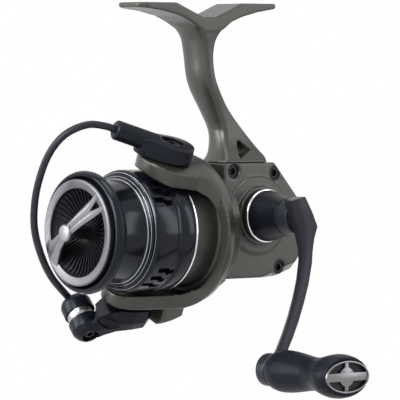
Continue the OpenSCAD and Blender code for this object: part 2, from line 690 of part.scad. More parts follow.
module nut_retainer() {
    color(steel) on_rotor() {
        ring_x(core_front - 0.8, core_front, 7.6, 5.2);
        translate([core_front - 0.8, 7, -1.6]) cube([0.8, 4.4, 3.2]);
    }
}
module pivot_screws() {
    color(black) on_rotor() translate([-pivot_front, 0, 0]) for (side = [-1, 1])
        rotate([side > 0 ? 0 : 180, 0, 0]) difference() {
            union() {
                translate([0, 0, arm_face - arm_wall + 0.6]) cylinder(h = arm_wall + 3.4, r = pivot_r);
                translate([0, 0, arm_face + 4.0]) cylinder(h = 1.2, r = 2.8);
            }
            translate([0, 0, arm_face + 4.4]) cylinder(h = 2, r = 1.2, $fn = 6);
        }
}

// Bail --------------------------------------------------------------------------------------

roller_at = [-14.4, 0, -32.6];
// Direction from the screw end of the roller to its wire end, in the bail's frame.
module on_roller() {
    translate(roller_at) rotate([-64, 0, 0]) rotate([0, -16, 0]) children();
}
cap_r = 5.1;
lever_disc_r = 7.6;
lever_top = arm_face + pass_gap;

module bail_lever() {
    color(black) on_bail() difference() {
        union() {
            translate([0, 0, -lever_top - 4.4]) cylinder(h = 4.4, r = lever_disc_r);
            hull() {
                translate([-0.6, 0, -lever_top - 4.9]) cylinder(h = 4.4, r = 6.7, $fn = 40);
                on_roller() translate([0, 0, -7.6]) cylinder(h = 4.2, r = cap_r - 0.4, $fn = 32);
            }
            on_roller() translate([0, 0, -7.8]) cylinder(h = 5.6, r = cap_r);
        }
        translate([0, 0, -lever_top - 6]) cylinder(h = 8, r = pivot_r + run_gap);
        translate([0, 0, -lever_top - 9]) cylinder(h = 5.6, r = 2.8 + pass_gap);
        on_roller() translate([0, 0, -2.2]) cylinder(h = 9, r = roller_r + 0.7);
        on_roller() translate([0, 0, -9]) cylinder(h = 3.8, r = 2.4);
        on_roller() translate([0, 0, -9]) cylinder(h = 9, r = 1.1);
    }
}
module roller_screw() {
    color(black) on_bail() on_roller() difference() {
        union() {
            translate([0, 0, -6.4]) cylinder(h = 1.2, r = 2.2);
            translate([0, 0, -5.4]) cylinder(h = 11, r = 1.1);
        }
        translate([0, 0, -7]) cylinder(h = 1.2, r = 1.1, $fn = 6);
    }
}
roller_half = 1.9;
module line_roller() {
    color(silver) on_bail() on_roller()
        rotate_extrude() polygon([[2.6, -roller_half], [roller_r, -roller_half], [roller_r - 0.1, -1.5],
            [roller_r - 0.7, -0.5], [roller_r - 0.7, 0.7], [roller_r, roller_half], [2.6, roller_half]]);
}
module roller_bearing() {
    color(steel) on_bail() on_roller() translate([0, 0, -1.3]) ring(2.6, 2.6 - run_gap, 1.1);
}
module wire_cap() {
    color(black) on_bail() on_roller() difference() {
        rotate_extrude() polygon([[0, 2.2], [cap_r, 2.2], [cap_r, 5.2], [cap_r - 0.6, 6.4], [cap_r - 2, 7.3],
            [0, 7.7]]);
        translate([0, 0, 2]) cylinder(h = 4, r = 1.1);
    }
}

// The holder's socket for the wire: where it starts, and how far it rises towards its tip.
socket_at = [-5, 0, 29.4];
socket_rise = 11.4;
socket_length = 15.2;
socket_r = 3.2;
socket_depth = 4.5;
socket_way = [-cos(socket_rise), 0, sin(socket_rise)];
socket_tip = socket_at + socket_way * socket_length;
module on_socket() { translate(socket_at) rotate([0, socket_rise - 90, 0]) children(); }

// Middle line of the bail wire in the bail's frame, from the roller's cap to the holder's tip.
wire_route = concat([[-17.4, 5.6, -29.4], [-22, 4.2, -25.6], [-27, 3, -21], [-32, 2, -14.4], [-36.6, 1, -6],
    [-39, 0.4, 2], [-40, 0, 11], [-39, 0, 21], [-35.4, 0, 28.4], [-29, 0, 32.7]],
    [socket_tip + socket_way * 3, socket_tip, socket_tip - socket_way * socket_depth]);
function wire_ring(s, t) = let (a = along(s, max(0, t - 0.05)), b = along(s, min(len(s) - 1, t + 0.05)),
    c = along(s, t), v = (b - a) / norm(b - a), n = [0, 1, 0], q = cross(v, n) / norm(cross(v, n)),
    m = cross(q, v))
    [for (k = [0:36:324]) c + wire_r * (q * cos(k) + m * sin(k))];
module bail_wire() {
    color(black) on_bail() skin([for (k = [0:(len(wire_route) - 1) * 4]) wire_ring(wire_route, k / 4)]);
}
holder_base = arm_face + pass_gap;
module bail_holder() {
    color(black) on_bail() difference() {
        union() {
            hull() {
                translate([0.8, 0, holder_base]) cylinder(h = 4.8, r = 6.8, $fn = 40);
                translate([-8, 0, holder_base + 0.6]) cylinder(h = 5.6, r = 3.9, $fn = 32);
            }
            on_socket() cylinder(h = socket_length - 0.6, r = socket_r);
            on_socket() translate([0, 0, socket_length - 0.6]) cylinder(h = 0.6, r1 = socket_r, r2 = socket_r - 0.6);
        }
        translate([0, 0, holder_base - 1]) cylinder(h = 12, r = pivot_r + run_gap);
        translate([0, 0, arm_face + 3.5]) cylinder(h = 12, r = 2.8 + pass_gap);
        on_socket() translate([0, 0, socket_length - socket_depth]) cylinder(h = socket_depth + 1, r = wire_r);
    }
}

// Shaft, slider and spool -------------------------------------------------------------------

shaft_front = face_x + 3.4;
shaft_back = slider_x + 2;
module main_shaft() {
    color(steel) on_spool_axis() difference() {
        ring_x(shaft_front, shaft_back, shaft_r);
        ring_x(shaft_back - 3.6, shaft_back + 1, 0.7);
    }
}
slider_half = 2;
module slider_block() {
    color(steel) difference() {
        translate([slider_x - slider_half, -2.1, slider_bottom])
            cube([slider_half * 2, 4.9, spool_z + shaft_r + 0.15 - slider_bottom]);
        on_spool_axis() ring_x(slider_x - 5, slider_x + 5, shaft_r);
        translate([0, guide_y, guide_z]) ring_x(slider_x - 5, slider_x + 5, guide_r + run_gap);
        translate([slider_x - 1.1, 0.5, slider_bottom + 0.6]) cube([2.2, 4, 2 * pin_throw - 1]);
    }
}
module slider_screw() {
    color(steel) on_spool_axis() {
        ring_x(shaft_back, shaft_back + 1, 1.5);
        ring_x(shaft_back - 3.5, shaft_back + 0.2, 0.7);
    }
}
module spool_seat() {
    color(brass) on_spool_axis() ring_x(spool_floor, spool_floor + 0.8, 4, shaft_r);
}

spool_floor = -30.4;
module spool() {
    color(dark) on_spool_axis() difference() {
        turned_x([
            [lip_x + 2.2, drag_r + 0.7], [lip_x - 1, drag_r + 0.7], [lip_x - 1.5, lip_r - 1.6],
            [lip_x - 1.1, lip_r - 0.4], [lip_x, lip_r], [lip_x + 1.4, lip_r - 0.3], [lip_x + 2.4, lip_r - 1.2],
            [lip_x + 3.9, arbour_r + 0.5], [lip_x + 4.4, arbour_r], [skirt_front - 2.2, arbour_r],
            [skirt_front - 1.9, arbour_r + 0.6], [skirt_front - 1.5, arbour_r + 1.2],
            [skirt_front - 0.8, arbour_r + 1.6], [skirt_front - 0.4, skirt_r - 0.5],
            [skirt_front + 0.3, skirt_r],
            [skirt_split, skirt_r], [skirt_split, skirt_r - 1.3], [skirt_front + 1, 14.4], [spool_floor, 14.4],
            [spool_floor, shaft_r + run_gap], [spool_floor - 2.4, shaft_r + run_gap],
            [spool_floor - 2.4, cup_r], [lip_x + 2.2, cup_r]]);
        trim_rings(2);
    }
}
// The thin skirt behind the flange, with its groups of slots.
module spool_skirt() {
    color(dark) on_spool_axis() difference() {
        turned_x([[skirt_split, skirt_r], [skirt_front + 8.2, skirt_r], [skirt_front + 8.8, skirt_r - 0.5],
            [skirt_front + 10.4, skirt_r - 0.5], [skirt_front + 11, skirt_r],
            [skirt_back - 1, skirt_r], [skirt_back - 1, skirt_r - 1.1], [skirt_split, skirt_r - 1.3]]);
        for (group = [0:2]) for (k = [0:2]) rotate([120 * group + 12 * k + 10, 0, 0])
            translate([skirt_front + 3 + 1.4 * k, 0, skirt_r - 3]) rotate([0, 0, 14]) cube([6.4, 1.1, 6]);
    }
}
skirt_split = skirt_front + 2;
cup_r = 13.2;
module skirt_ring() {
    color(silver) on_spool_axis() ring_x(skirt_back - 1, skirt_back, skirt_r, skirt_r - 1.1);
}
// Bright rings let into the flange behind the line: [distance behind the skirt's front, radius].
trim_spots = [[-2, arbour_r + 0.55], [-1.15, arbour_r + 1.4], [-0.35, skirt_r - 0.45]];
module trim_rings(stand) {
    for (t = trim_spots) ring_x(skirt_front + t[0], skirt_front + t[0] + 0.35, t[1] + stand, t[1] - 0.6);
}
module spool_trim() { color(silver) on_spool_axis() trim_rings(0.1); }
stack_back = spool_floor - 2.4;
module drag_washers() {
    color("#6b5a48") on_spool_axis() for (k = [0:2])
        ring_x(stack_back - 1 - 1.8 * k, stack_back - 1.8 * k, cup_r - 0.6, shaft_r + 0.4);
}
module drag_plates() {
    color(steel) on_spool_axis() for (k = [0:1])
        ring_x(stack_back - 1.8 - 1.8 * k, stack_back - 1 - 1.8 * k, cup_r - 0.5, shaft_r + 0.4);
}
module washer_clip() {
    color(steel) on_spool_axis() difference() {
        ring_x(stack_back - 5.3, stack_back - 4.6, cup_r, cup_r - 1.4);
        translate([-60, -1.4, 8]) cube([60, 2.8, 10]);
    }
}

knob_back = lip_x + 1.8;
module drag_knob_body() {
    color(dark) on_spool_axis() difference() {
        union() {
            turned_x([[face_x + 0.6, drag_r - 2.7], [face_x + 0.6, drag_r - 0.1], [knob_back, drag_r - 0.1],
                [knob_back, 4.6], [knob_back - 1.4, 4.6], [knob_back - 1.4, drag_r - 2.7]]);
            turned_x([[knob_back - 1.6, shaft_r + run_gap], [knob_back - 1.6, drag_r - 2.6], [knob_back, drag_r - 2.6],
                [knob_back, 9], [knob_back + 5, 8.4], [knob_back + 5, 6], [knob_back + 1, 6], [knob_back + 1, shaft_r + run_gap]]);
        }
    }
}
bar_rise = 5.4;
module drag_knob_trim() {
    color(silver) on_spool_axis() union() {
        turned_x([[face_x, drag_r - 2.4], [face_x - 0.4, drag_r - 1], [face_x, drag_r], [face_x + 0.6, drag_r],
            [face_x + 0.6, drag_r - 2.7]]);
        difference() {
            intersection() {
                turned_x([[knob_back - 1.6, 0], [face_x + 0.6, drag_r - 2.7], [face_x + 0.6, drag_r - 0.6],
                    [face_x - 1, drag_r - 0.6], [face_x - 3.4, 9], [face_x - bar_rise, 3.4],
                    [face_x - bar_rise, 0]]);
                rotate([bar_angle, 0, 0]) translate([-80, 0, 0]) rotate([0, 90, 0])
                    linear_extrude(height = 100) polygon(bar_outline);
            }
            turned_x([[knob_back, 0], [knob_back, drag_r - 2.7], [face_x + 0.4, drag_r - 2.7],
                [face_x - 0.6, 8], [face_x - 0.6, 4.4], [knob_back - 1.6, 4.4], [knob_back - 1.6, 0]]);
        }
    }
}
bar_outline = [[-17, -3.4], [-11, -3.2], [-4, -1.9], [4, -1.9], [10, -2.9], [17, -3.4], [17, -1.4],
    [11, 0], [17, 1.4], [17, 3.4], [10, 2.9], [4, 1.9], [-4, 1.9], [-11, 3.2], [-17, 3.4]];
bar_angle = 52;
module drag_knob_nut() {
    color(brass) on_spool_axis() ring_x(knob_back + 1, knob_back + 3.4, 6, shaft_r + run_gap);
}
module drag_spring() {
    color(steel) on_spool_axis() ring_x(knob_back + 3.4, knob_back + 6.6, 5.2, 4.4);
}

body_frame();
side_cover();
cover_screws();
drive_bearing_near();
drive_bearing_far();
far_side_cap();
guide_rod();
pinion_bearing();
clutch_ring();
clutch_cage();
clutch_rollers();
clutch_retainer();
drive_gear();
handle_shaft();
collar_ring();
handle_collar();
handle_arm();
knob_axle();
knob_screw();
knob_bearings();
knob_grip();
knob_bezel();
knob_insert();
crosswind_gear();
crosswind_axle();
rotor();
pinion_gear();
clutch_sleeve();
rotor_nut();
nut_retainer();
spring_cover();
cover_pin();
bail_spring();
spring_guide();
pivot_screws();
bail_lever();
bail_holder();
bail_wire();
wire_cap();
roller_screw();
line_roller();
roller_bearing();
main_shaft();
slider_block();
slider_screw();
spool_seat();
spool();
spool_skirt();
spool_trim();
skirt_ring();
drag_washers();
drag_plates();
washer_clip();
drag_knob_body();
drag_knob_trim();
drag_knob_nut();
drag_spring();
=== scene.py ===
"""Spinning reel: the look of the part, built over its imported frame.

Every piece is made in the part's own frame, with +Z up out of the foot's rod face, the spool's front
towards -X and the handle on the -Y side. Sizes in the classes are in millimetres.
"""

import json
import logging
import math
from contextlib import contextmanager
from dataclasses import dataclass, field
from enum import Enum
from functools import cache
from typing import Callable, Iterator, Sequence

import bpy
from mathutils import Matrix, Vector


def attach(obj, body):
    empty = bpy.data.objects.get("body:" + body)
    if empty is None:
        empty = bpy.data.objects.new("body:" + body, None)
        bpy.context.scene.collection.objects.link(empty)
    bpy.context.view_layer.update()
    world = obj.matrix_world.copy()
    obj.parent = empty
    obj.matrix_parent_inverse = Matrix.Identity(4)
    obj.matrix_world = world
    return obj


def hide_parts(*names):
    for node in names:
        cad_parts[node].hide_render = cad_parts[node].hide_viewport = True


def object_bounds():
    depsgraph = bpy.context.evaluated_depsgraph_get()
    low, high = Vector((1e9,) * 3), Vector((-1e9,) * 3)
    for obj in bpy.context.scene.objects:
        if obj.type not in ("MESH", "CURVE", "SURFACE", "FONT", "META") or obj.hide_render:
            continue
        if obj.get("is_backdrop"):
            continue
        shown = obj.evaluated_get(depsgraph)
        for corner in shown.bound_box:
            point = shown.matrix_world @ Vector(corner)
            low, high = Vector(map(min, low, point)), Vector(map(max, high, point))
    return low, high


LOG = logging.getLogger("reel")
MM = 0.001
BUMP_HEIGHT = 0.0002
Point = tuple[float, float, float]
Obj, Tree, Node, Socket = bpy.types.Object, bpy.types.NodeTree, bpy.types.Node, bpy.types.NodeSocket
Profile = Sequence[tuple[float, float]]

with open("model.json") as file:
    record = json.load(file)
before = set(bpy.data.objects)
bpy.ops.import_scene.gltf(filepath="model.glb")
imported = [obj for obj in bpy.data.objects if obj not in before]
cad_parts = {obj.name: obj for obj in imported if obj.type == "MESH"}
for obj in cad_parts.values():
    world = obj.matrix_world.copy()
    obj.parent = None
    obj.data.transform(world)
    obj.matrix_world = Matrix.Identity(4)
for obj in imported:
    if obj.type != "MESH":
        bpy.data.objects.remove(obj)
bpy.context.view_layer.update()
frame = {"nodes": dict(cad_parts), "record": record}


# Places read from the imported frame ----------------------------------


def joint_place(name: str) -> tuple[Vector, Vector]:
    """Where a joint of the record is.

    Args:
        name: The joint's name in the record.

    Returns:
        A point on its axis in millimetres, and the axis.
    """
    for joint in frame["record"]["behaviour"]["joints"]:
        if joint["name"] == name:
            return Vector(joint.get("pos_m", (0, 0, 0))) / MM, Vector(joint["axis"]).normalized()
    raise KeyError(name)


SPOOL_Z = joint_place("rotor_spin")[0].z
DRIVE = joint_place("handle_spin")[0]
KNOB = joint_place("knob_spin")[0]
BAIL_PIVOT, BAIL_AXIS = joint_place("bail_turn")
ROLLER_AT, ROLLER_AXIS = joint_place("roller_spin")
BAIL_LEAN = 20.0
FROM_X = Matrix.Rotation(-math.pi / 2, 4, "Y")  # Turns what was made along X to run along Z.
ROTOR_TURN = math.degrees(math.atan2(-BAIL_AXIS.y, BAIL_AXIS.z))


def spool_frame() -> Matrix:
    """X along the spool's axis, origin in the plane of the foot's middle."""
    return Matrix.Translation((0, 0, SPOOL_Z))


def rotor_frame() -> Matrix:
    """The spool's frame turned so that local Z runs through both arms' pivots."""
    return spool_frame() @ Matrix.Rotation(math.radians(ROTOR_TURN), 4, "X")


def bail_frame() -> Matrix:
    """The bail's frame: Z along its pivots, X back along the arms, leaning by BAIL_LEAN degrees."""
    lean = Matrix.Rotation(math.radians(-BAIL_LEAN), 4, "Z")
    return rotor_frame() @ Matrix.Translation((BAIL_PIVOT.x, 0, 0)) @ lean


def drive_frame() -> Matrix:
    """Z along the handle's axis, away from the handle's side."""
    return Matrix.Translation((DRIVE.x, 0, DRIVE.z)) @ Matrix.Rotation(math.radians(-90), 4, "X")


def knob_frame() -> Matrix:
    """Z along the knob's axis, outwards on the handle's side."""
    return Matrix.Translation((KNOB.x, 0, KNOB.z)) @ Matrix.Rotation(math.radians(90), 4, "X")


# Finishes -----------------------------------------------------------


class Grain(Enum):
    """How a finish's fine surface runs."""

    FLAKE = "metal flake under a clear coat"
    TURNED = "fine lines round the spool's axis"
    BRUSHED = "lines along one direction"
    MOULDED = "fine even moulded texture"
    CAST = "soft mottle of a bead-blasted casting"


@dataclass(frozen=True)
class Finish:
    """One finish, as a painter or polisher would order it."""

    name: str
    color: tuple[float, float, float]
    grain: Grain
    metallic: float = 0.0
    roughness: float = 0.4
    coat: float = 0.0
    coat_roughness: float = 0.1
    specular: float = 0.5
    gloss_tint: tuple[float, float, float] = (1.0, 1.0, 1.0)
    scale: float = 4000.0
    depth: float = 0.1
    tone: float = 0.2
    spread: float = 0.06
    turned_about: Matrix = field(default_factory=lambda: Matrix.Identity(4), compare=False)

    @cache
    def material(self) -> bpy.types.Material:
        """The finish as a node material, made once."""
        mat = bpy.data.materials.new(self.name)
        mat.use_nodes = True
        tree = mat.node_tree
        shader = tree.nodes["Principled BSDF"]
        place = tree.nodes.new("ShaderNodeTexCoord")
        mapping = tree.nodes.new("ShaderNodeMapping")
        back = self.turned_about.inverted()
        mapping.inputs["Location"].default_value = back.to_translation() * MM
        mapping.inputs["Rotation"].default_value = back.to_euler()
        tree.links.new(place.outputs["Object"], mapping.inputs["Vector"])
        grain = tree.nodes.new("ShaderNodeGroup")
        grain.node_tree = GRAIN_GROUPS[self.grain]()
        tree.links.new(mapping.outputs["Vector"], grain.inputs["Vector"])
        bump = tree.nodes.new("ShaderNodeBump")
        tree.links.new(grain.outputs["Color"], shader.inputs["Base Color"])
        tree.links.new(grain.outputs["Roughness"], shader.inputs["Roughness"])
        tree.links.new(grain.outputs["Height"], bump.inputs["Height"])
        tree.links.new(bump.outputs["Normal"], shader.inputs["Normal"])
        set_inputs(grain, {"Color": (*self.color, 1), "Tone": self.tone, "Scale": self.scale,
                           "Roughness": self.roughness, "Spread": self.spread})
        set_inputs(bump, {"Strength": self.depth, "Distance": BUMP_HEIGHT})
        set_inputs(shader, {"Metallic": self.metallic, "Coat Weight": self.coat,
                            "Coat Roughness": self.coat_roughness, "Specular IOR Level": self.specular,
                            "Specular Tint": (*self.gloss_tint, 1)})
        return mat


def set_inputs(node: Node, values: dict[str, object]) -> None:
    """Sets a node's inputs by their names."""
    for name, value in values.items():
        node.inputs[name].default_value = value


def new_group(name: str) -> tuple[Tree, Node, Node]:
    """A shader group with the sockets that every grain has.

    Args:
        name: The group's name.

    Returns:
        The group, its input node and its output node.
    """
    group = bpy.data.node_groups.new(name, "ShaderNodeTree")
    kinds = {"Vector": "NodeSocketVector", "Color": "NodeSocketColor"}
    for way, sockets in (("INPUT", ("Vector", "Color", "Tone", "Scale", "Roughness", "Spread")),
                         ("OUTPUT", ("Color", "Roughness", "Height"))):
        for socket in sockets:
            kind = kinds.get(socket, "NodeSocketFloat")
            group.interface.new_socket(socket, in_out=way, socket_type=kind)
    return group, group.nodes.new("NodeGroupInput"), group.nodes.new("NodeGroupOutput")


def math_node(group: Tree, kind: str, *values: object) -> Socket:
    """Adds a Math node.

    Args:
        group: The tree it goes in.
        kind: The operation.
        values: A number or an output socket for each input in turn.

    Returns:
        The node's output.
    """
    node = group.nodes.new("ShaderNodeMath")
    node.operation = kind
    for slot, value in zip(node.inputs, values):
        if isinstance(value, Socket):
            group.links.new(value, slot)
        else:
            slot.default_value = value
    return node.outputs[0]


def noise_node(group: Tree, vector: Socket, scale: object, detail: float = 2.0, rough: float = 0.5) -> Socket:
    """Adds a Noise Texture and returns its factor output.

    Args:
        group: The tree it goes in.
        vector: What places the noise.
        scale: A number or an output socket.
        detail: Octaves.
        rough: How strong the finer octaves are.

    Returns:
        The noise's factor.
    """
    node = group.nodes.new("ShaderNodeTexNoise")
    node.inputs["Detail"].default_value = detail
    node.inputs["Roughness"].default_value = rough
    group.links.new(vector, node.inputs["Vector"])
    if isinstance(scale, Socket):
        group.links.new(scale, node.inputs["Scale"])
    else:
        node.inputs["Scale"].default_value = scale
    return node.outputs["Factor" if "Factor" in node.outputs else "Fac"]


def close_group(group: Tree, start: Node, end: Node, fine: Socket, broad: Socket) -> None:
    """Turns a fine and a broad pattern into a grain group's three outputs.

    Args:
        group: The group.
        start: Its input node.
        end: Its output node.
        fine: The pattern of the height, the roughness and half of the tone.
        broad: The pattern of the other half of the tone.
    """
    both = math_node(group, "ADD", fine, broad)
    centred = math_node(group, "SUBTRACT", both, 1.0)
    gain = math_node(group, "MULTIPLY_ADD", centred, start.outputs["Tone"], 1.0)
    scaled = group.nodes.new("ShaderNodeVectorMath")
    scaled.operation = "SCALE"
    group.links.new(start.outputs["Color"], scaled.inputs[0])
    group.links.new(gain, scaled.inputs["Scale"])
    group.links.new(scaled.outputs[0], end.inputs["Color"])
    off = math_node(group, "SUBTRACT", fine, 0.5)
    rough = math_node(group, "MULTIPLY_ADD", off, start.outputs["Spread"], start.outputs["Roughness"])
    group.links.new(rough, end.inputs["Roughness"])
    group.links.new(fine, end.inputs["Height"])


@cache
def even_grain(name: str, broad_scale: float, detail: float) -> Tree:
    """A grain that is the same in every direction.

    Args:
        name: The group's name.
        broad_scale: Scale of the slow change of tone.
        detail: Octaves of the fine pattern.

    Returns:
        The group.
    """
    group, start, end = new_group(name)
    fine = noise_node(group, start.outputs["Vector"], start.outputs["Scale"], detail, 0.6)
    broad = noise_node(group, start.outputs["Vector"], broad_scale, 3.0)
    close_group(group, start, end, fine, broad)
    return group


@cache
def flake_grain() -> Tree:
    """Metal flake: small bright and dark cells over a slow mottle."""
    group, start, end = new_group("metal_flake")
    cells = group.nodes.new("ShaderNodeTexVoronoi")
    group.links.new(start.outputs["Vector"], cells.inputs["Vector"])
    group.links.new(start.outputs["Scale"], cells.inputs["Scale"])
    apart = group.nodes.new("ShaderNodeSeparateColor")
    group.links.new(cells.outputs["Color"], apart.inputs["Color"])
    broad = noise_node(group, start.outputs["Vector"], 90.0, 3.0)
    close_group(group, start, end, apart.outputs["Red"], broad)
    return group


@cache
def round_grain() -> Tree:
    """Lines that a lathe or a brush leaves round the X axis."""
    group, start, end = new_group("round_lines")
    apart = group.nodes.new("ShaderNodeSeparateXYZ")
    group.links.new(start.outputs["Vector"], apart.inputs[0])
    squares = [math_node(group, "MULTIPLY", apart.outputs[way], apart.outputs[way]) for way in "YZ"]
    radius = math_node(group, "SQRT", math_node(group, "ADD", *squares))
    turn = math_node(group, "ARCTAN2", apart.outputs["Y"], apart.outputs["Z"])
    together = group.nodes.new("ShaderNodeCombineXYZ")
    group.links.new(apart.outputs["X"], together.inputs["X"])
    group.links.new(radius, together.inputs["Y"])
    group.links.new(math_node(group, "MULTIPLY", turn, 0.0006), together.inputs["Z"])
    fine = noise_node(group, together.outputs[0], start.outputs["Scale"], 3.0, 0.6)
    broad = noise_node(group, start.outputs["Vector"], 70.0, 2.0)
    close_group(group, start, end, fine, broad)
    return group


@cache
def long_grain() -> Tree:
    """Lines along local X, as a brush leaves."""
    group, start, end = new_group("long_lines")
    squeeze = group.nodes.new("ShaderNodeMapping")
    squeeze.inputs["Scale"].default_value = (0.03, 1, 1)
    group.links.new(start.outputs["Vector"], squeeze.inputs["Vector"])
    fine = noise_node(group, squeeze.outputs["Vector"], start.outputs["Scale"], 3.0, 0.6)
    broad = noise_node(group, start.outputs["Vector"], 80.0, 2.0)
    close_group(group, start, end, fine, broad)
    return group


GRAIN_GROUPS: dict[Grain, Callable[[], Tree]] = {
    Grain.FLAKE: flake_grain,
    Grain.TURNED: round_grain,
    Grain.BRUSHED: long_grain,
    Grain.MOULDED: lambda: even_grain("moulded_grain", 60.0, 4.0),
    Grain.CAST: lambda: even_grain("cast_grain", 120.0, 2.0),
}


BLUE_GLOSS = (0.80, 0.87, 1.0)
OLIVE = Finish("olive_paint", (0.053, 0.051, 0.046), Grain.FLAKE, metallic=0.5, roughness=0.35, coat=0.15,
               coat_roughness=0.3, scale=9000, depth=0.04, tone=0.25, spread=0.10)
SATIN_BLACK = Finish("satin_black", (0.006, 0.0067, 0.0105), Grain.CAST, roughness=0.33, specular=0.19,
                     gloss_tint=BLUE_GLOSS, scale=5000, depth=0.05)
ARM_BLACK = Finish("arm_black", (0.016, 0.0168, 0.0215), Grain.CAST, roughness=0.36, specular=0.26,
                   gloss_tint=BLUE_GLOSS, scale=5000, depth=0.05)
SPOOL_BLACK = Finish("gloss_black", (0.006, 0.0066, 0.0105), Grain.TURNED, roughness=0.17, specular=0.23,
                     gloss_tint=BLUE_GLOSS, scale=2500, depth=0.03, tone=0.15, spread=0.05,
                     turned_about=spool_frame())
MOULDED_BLACK = Finish("moulded_black", (0.006, 0.0065, 0.009), Grain.MOULDED, roughness=0.45,
                       specular=0.25, scale=2500, depth=0.12)
GRIP_BLACK = Finish("soft_grip", (0.006, 0.0067, 0.0115), Grain.MOULDED, roughness=0.42, specular=0.13,
                    gloss_tint=BLUE_GLOSS, scale=3500, depth=0.10)
RING_SILVER = Finish("ring_silver", (0.19, 0.19, 0.21), Grain.TURNED, metallic=1.0, roughness=0.44,
                     depth=0.12, tone=0.14, spread=0.12, turned_about=spool_frame())
TURNED_SILVER = Finish("turned_silver", (0.30, 0.30, 0.325), Grain.TURNED, metallic=1.0, roughness=0.40,
                       depth=0.12, tone=0.14, spread=0.12, turned_about=spool_frame())
BRUSHED_SILVER = Finish("brushed_silver", (0.21, 0.205, 0.215), Grain.BRUSHED, metallic=1.0,
                        roughness=0.32, scale=5000, depth=0.10, tone=0.14, spread=0.10)
BRIGHT = Finish("bright_metal", (0.80, 0.81, 0.83), Grain.CAST, metallic=1.0, roughness=0.12, scale=3000,
                depth=0.02, tone=0.05, spread=0.03)
PLAIN_STEEL = Finish("plain_steel", (0.45, 0.46, 0.48), Grain.CAST, metallic=1.0, roughness=0.34,
                     depth=0.06, tone=0.12)
BRASS = Finish("machined_brass", (0.62, 0.44, 0.17), Grain.TURNED, metallic=1.0, roughness=0.32,
               depth=0.08, tone=0.12)
SEAM_BROWN = Finish("seam_brown", (0.10, 0.07, 0.05), Grain.TURNED, metallic=0.4, roughness=0.35,
                    depth=0.05, tone=0.1)
FELT = Finish("pressed_felt", (0.34, 0.30, 0.23), Grain.MOULDED, roughness=0.9, scale=2500, depth=0.5,
              tone=0.5)

SLOT_FINISH: dict[str, Finish] = {
    "body_paint": OLIVE, "black_paint": SATIN_BLACK, "spool_black": SPOOL_BLACK, "silver": TURNED_SILVER,
    "steel": PLAIN_STEEL, "bright": BRIGHT, "brass": BRASS, "plastic": MOULDED_BLACK,
    "grip": GRIP_BLACK, "felt": FELT,
}


# The bench: ways to make a mesh, all sizes in millimetres -----------

# Radius that a turned profile has where it meets its axis.
THIN = 1e-3


def clear_choice() -> None:
    """Leaves edit mode and deselects everything."""
    if bpy.context.object and bpy.context.object.mode != "OBJECT":
        bpy.ops.object.mode_set(mode="OBJECT")
    bpy.ops.object.select_all(action="DESELECT")


def choose(obj: Obj) -> None:
    """Makes one object the only selected and the active one."""
    clear_choice()
    obj.select_set(True)
    bpy.context.view_layer.objects.active = obj


@contextmanager
def editing(obj: Obj) -> Iterator[None]:
    """Edit mode on one object, with all of its mesh selected."""
    choose(obj)
    bpy.ops.object.mode_set(mode="EDIT")
    bpy.ops.mesh.select_all(action="SELECT")
    yield
    bpy.ops.object.mode_set(mode="OBJECT")


def apply_all(obj: Obj) -> None:
    """Applies every modifier in turn."""
    choose(obj)
    for modifier in list(obj.modifiers):
        bpy.ops.object.modifier_apply(modifier=modifier.name)


def bevel(obj: Obj, width: float, angle: float) -> None:
    """Rounds an object's sharp edges with two faces.

    Args:
        obj: The object, in millimetres.
        width: The round's width.
        angle: Edges sharper than this many degrees are rounded.
    """
    modifier = obj.modifiers.new("rounding", "BEVEL")
    modifier.width = width
    modifier.segments = 2
    modifier.limit_method = "ANGLE"
    modifier.angle_limit = math.radians(angle)
    apply_all(obj)


def tidy_mesh(obj: Obj) -> None:
    """Merges doubled corners and turns the faces outwards."""
    with editing(obj):
        bpy.ops.mesh.remove_doubles(threshold=1e-4)
        bpy.ops.mesh.normals_make_consistent(inside=False)


def turned(profile: Profile, segments: int = 128, closed: bool = False) -> Obj:
    """Turns a profile about the X axis, ring by ring.

    Args:
        profile: Points of X and radius.
        segments: Corners of each ring.
        closed: True joins the last ring to the first; otherwise open ends are filled.

    Returns:
        The mesh in millimetres.
    """
    clear_choice()
    first_x, first_r = profile[0]
    bpy.ops.mesh.primitive_circle_add(vertices=segments, radius=max(first_r, THIN), location=(first_x, 0, 0),
                                      rotation=(0, math.pi / 2, 0))
    obj = bpy.context.object
    bpy.ops.object.transform_apply(location=True, rotation=True, scale=True)
    with editing(obj):
        if not closed:
            bpy.ops.mesh.edge_face_add()
            bpy.ops.mesh.select_all(action="SELECT")
        x, r = first_x, max(first_r, THIN)
        for next_x, next_r in list(profile[1:]) + ([profile[0]] if closed else []):
            next_r = max(next_r, THIN)
            bpy.ops.mesh.extrude_region_move(TRANSFORM_OT_translate={"value": (next_x - x, 0, 0)})
            bpy.ops.transform.resize(value=(1, next_r / r, next_r / r), center_override=(next_x, 0, 0))
            x, r = next_x, next_r
    tidy_mesh(obj)
    return obj


def rounded_profile(profile: Profile, radius: float, steps: int, closed: bool) -> list[tuple[float, float]]:
    """Rounds the corners of a profile.

    Args:
        profile: Points of X and radius.
        radius: How far each corner is cut back.
        steps: Points on each rounded corner.
        closed: True also rounds the first and last point.

    Returns:
        The new profile.
    """
    count = len(profile)
    out: list[tuple[float, float]] = []
    for i, point in enumerate(profile):
        if not closed and i in (0, count - 1):
            out.append(point)
            continue
        here = Vector(point)
        before, after = Vector(profile[i - 1]), Vector(profile[(i + 1) % count])
        back, on = before - here, after - here
        reach = min(radius, back.length * 0.45, on.length * 0.45)
        a, b = here + back.normalized() * reach, here + on.normalized() * reach
        for k in range(steps + 1):
            t = k / steps
            spot = a * (1 - t) ** 2 + here * 2 * t * (1 - t) + b * t ** 2
            out.append((spot.x, spot.y))
    return out


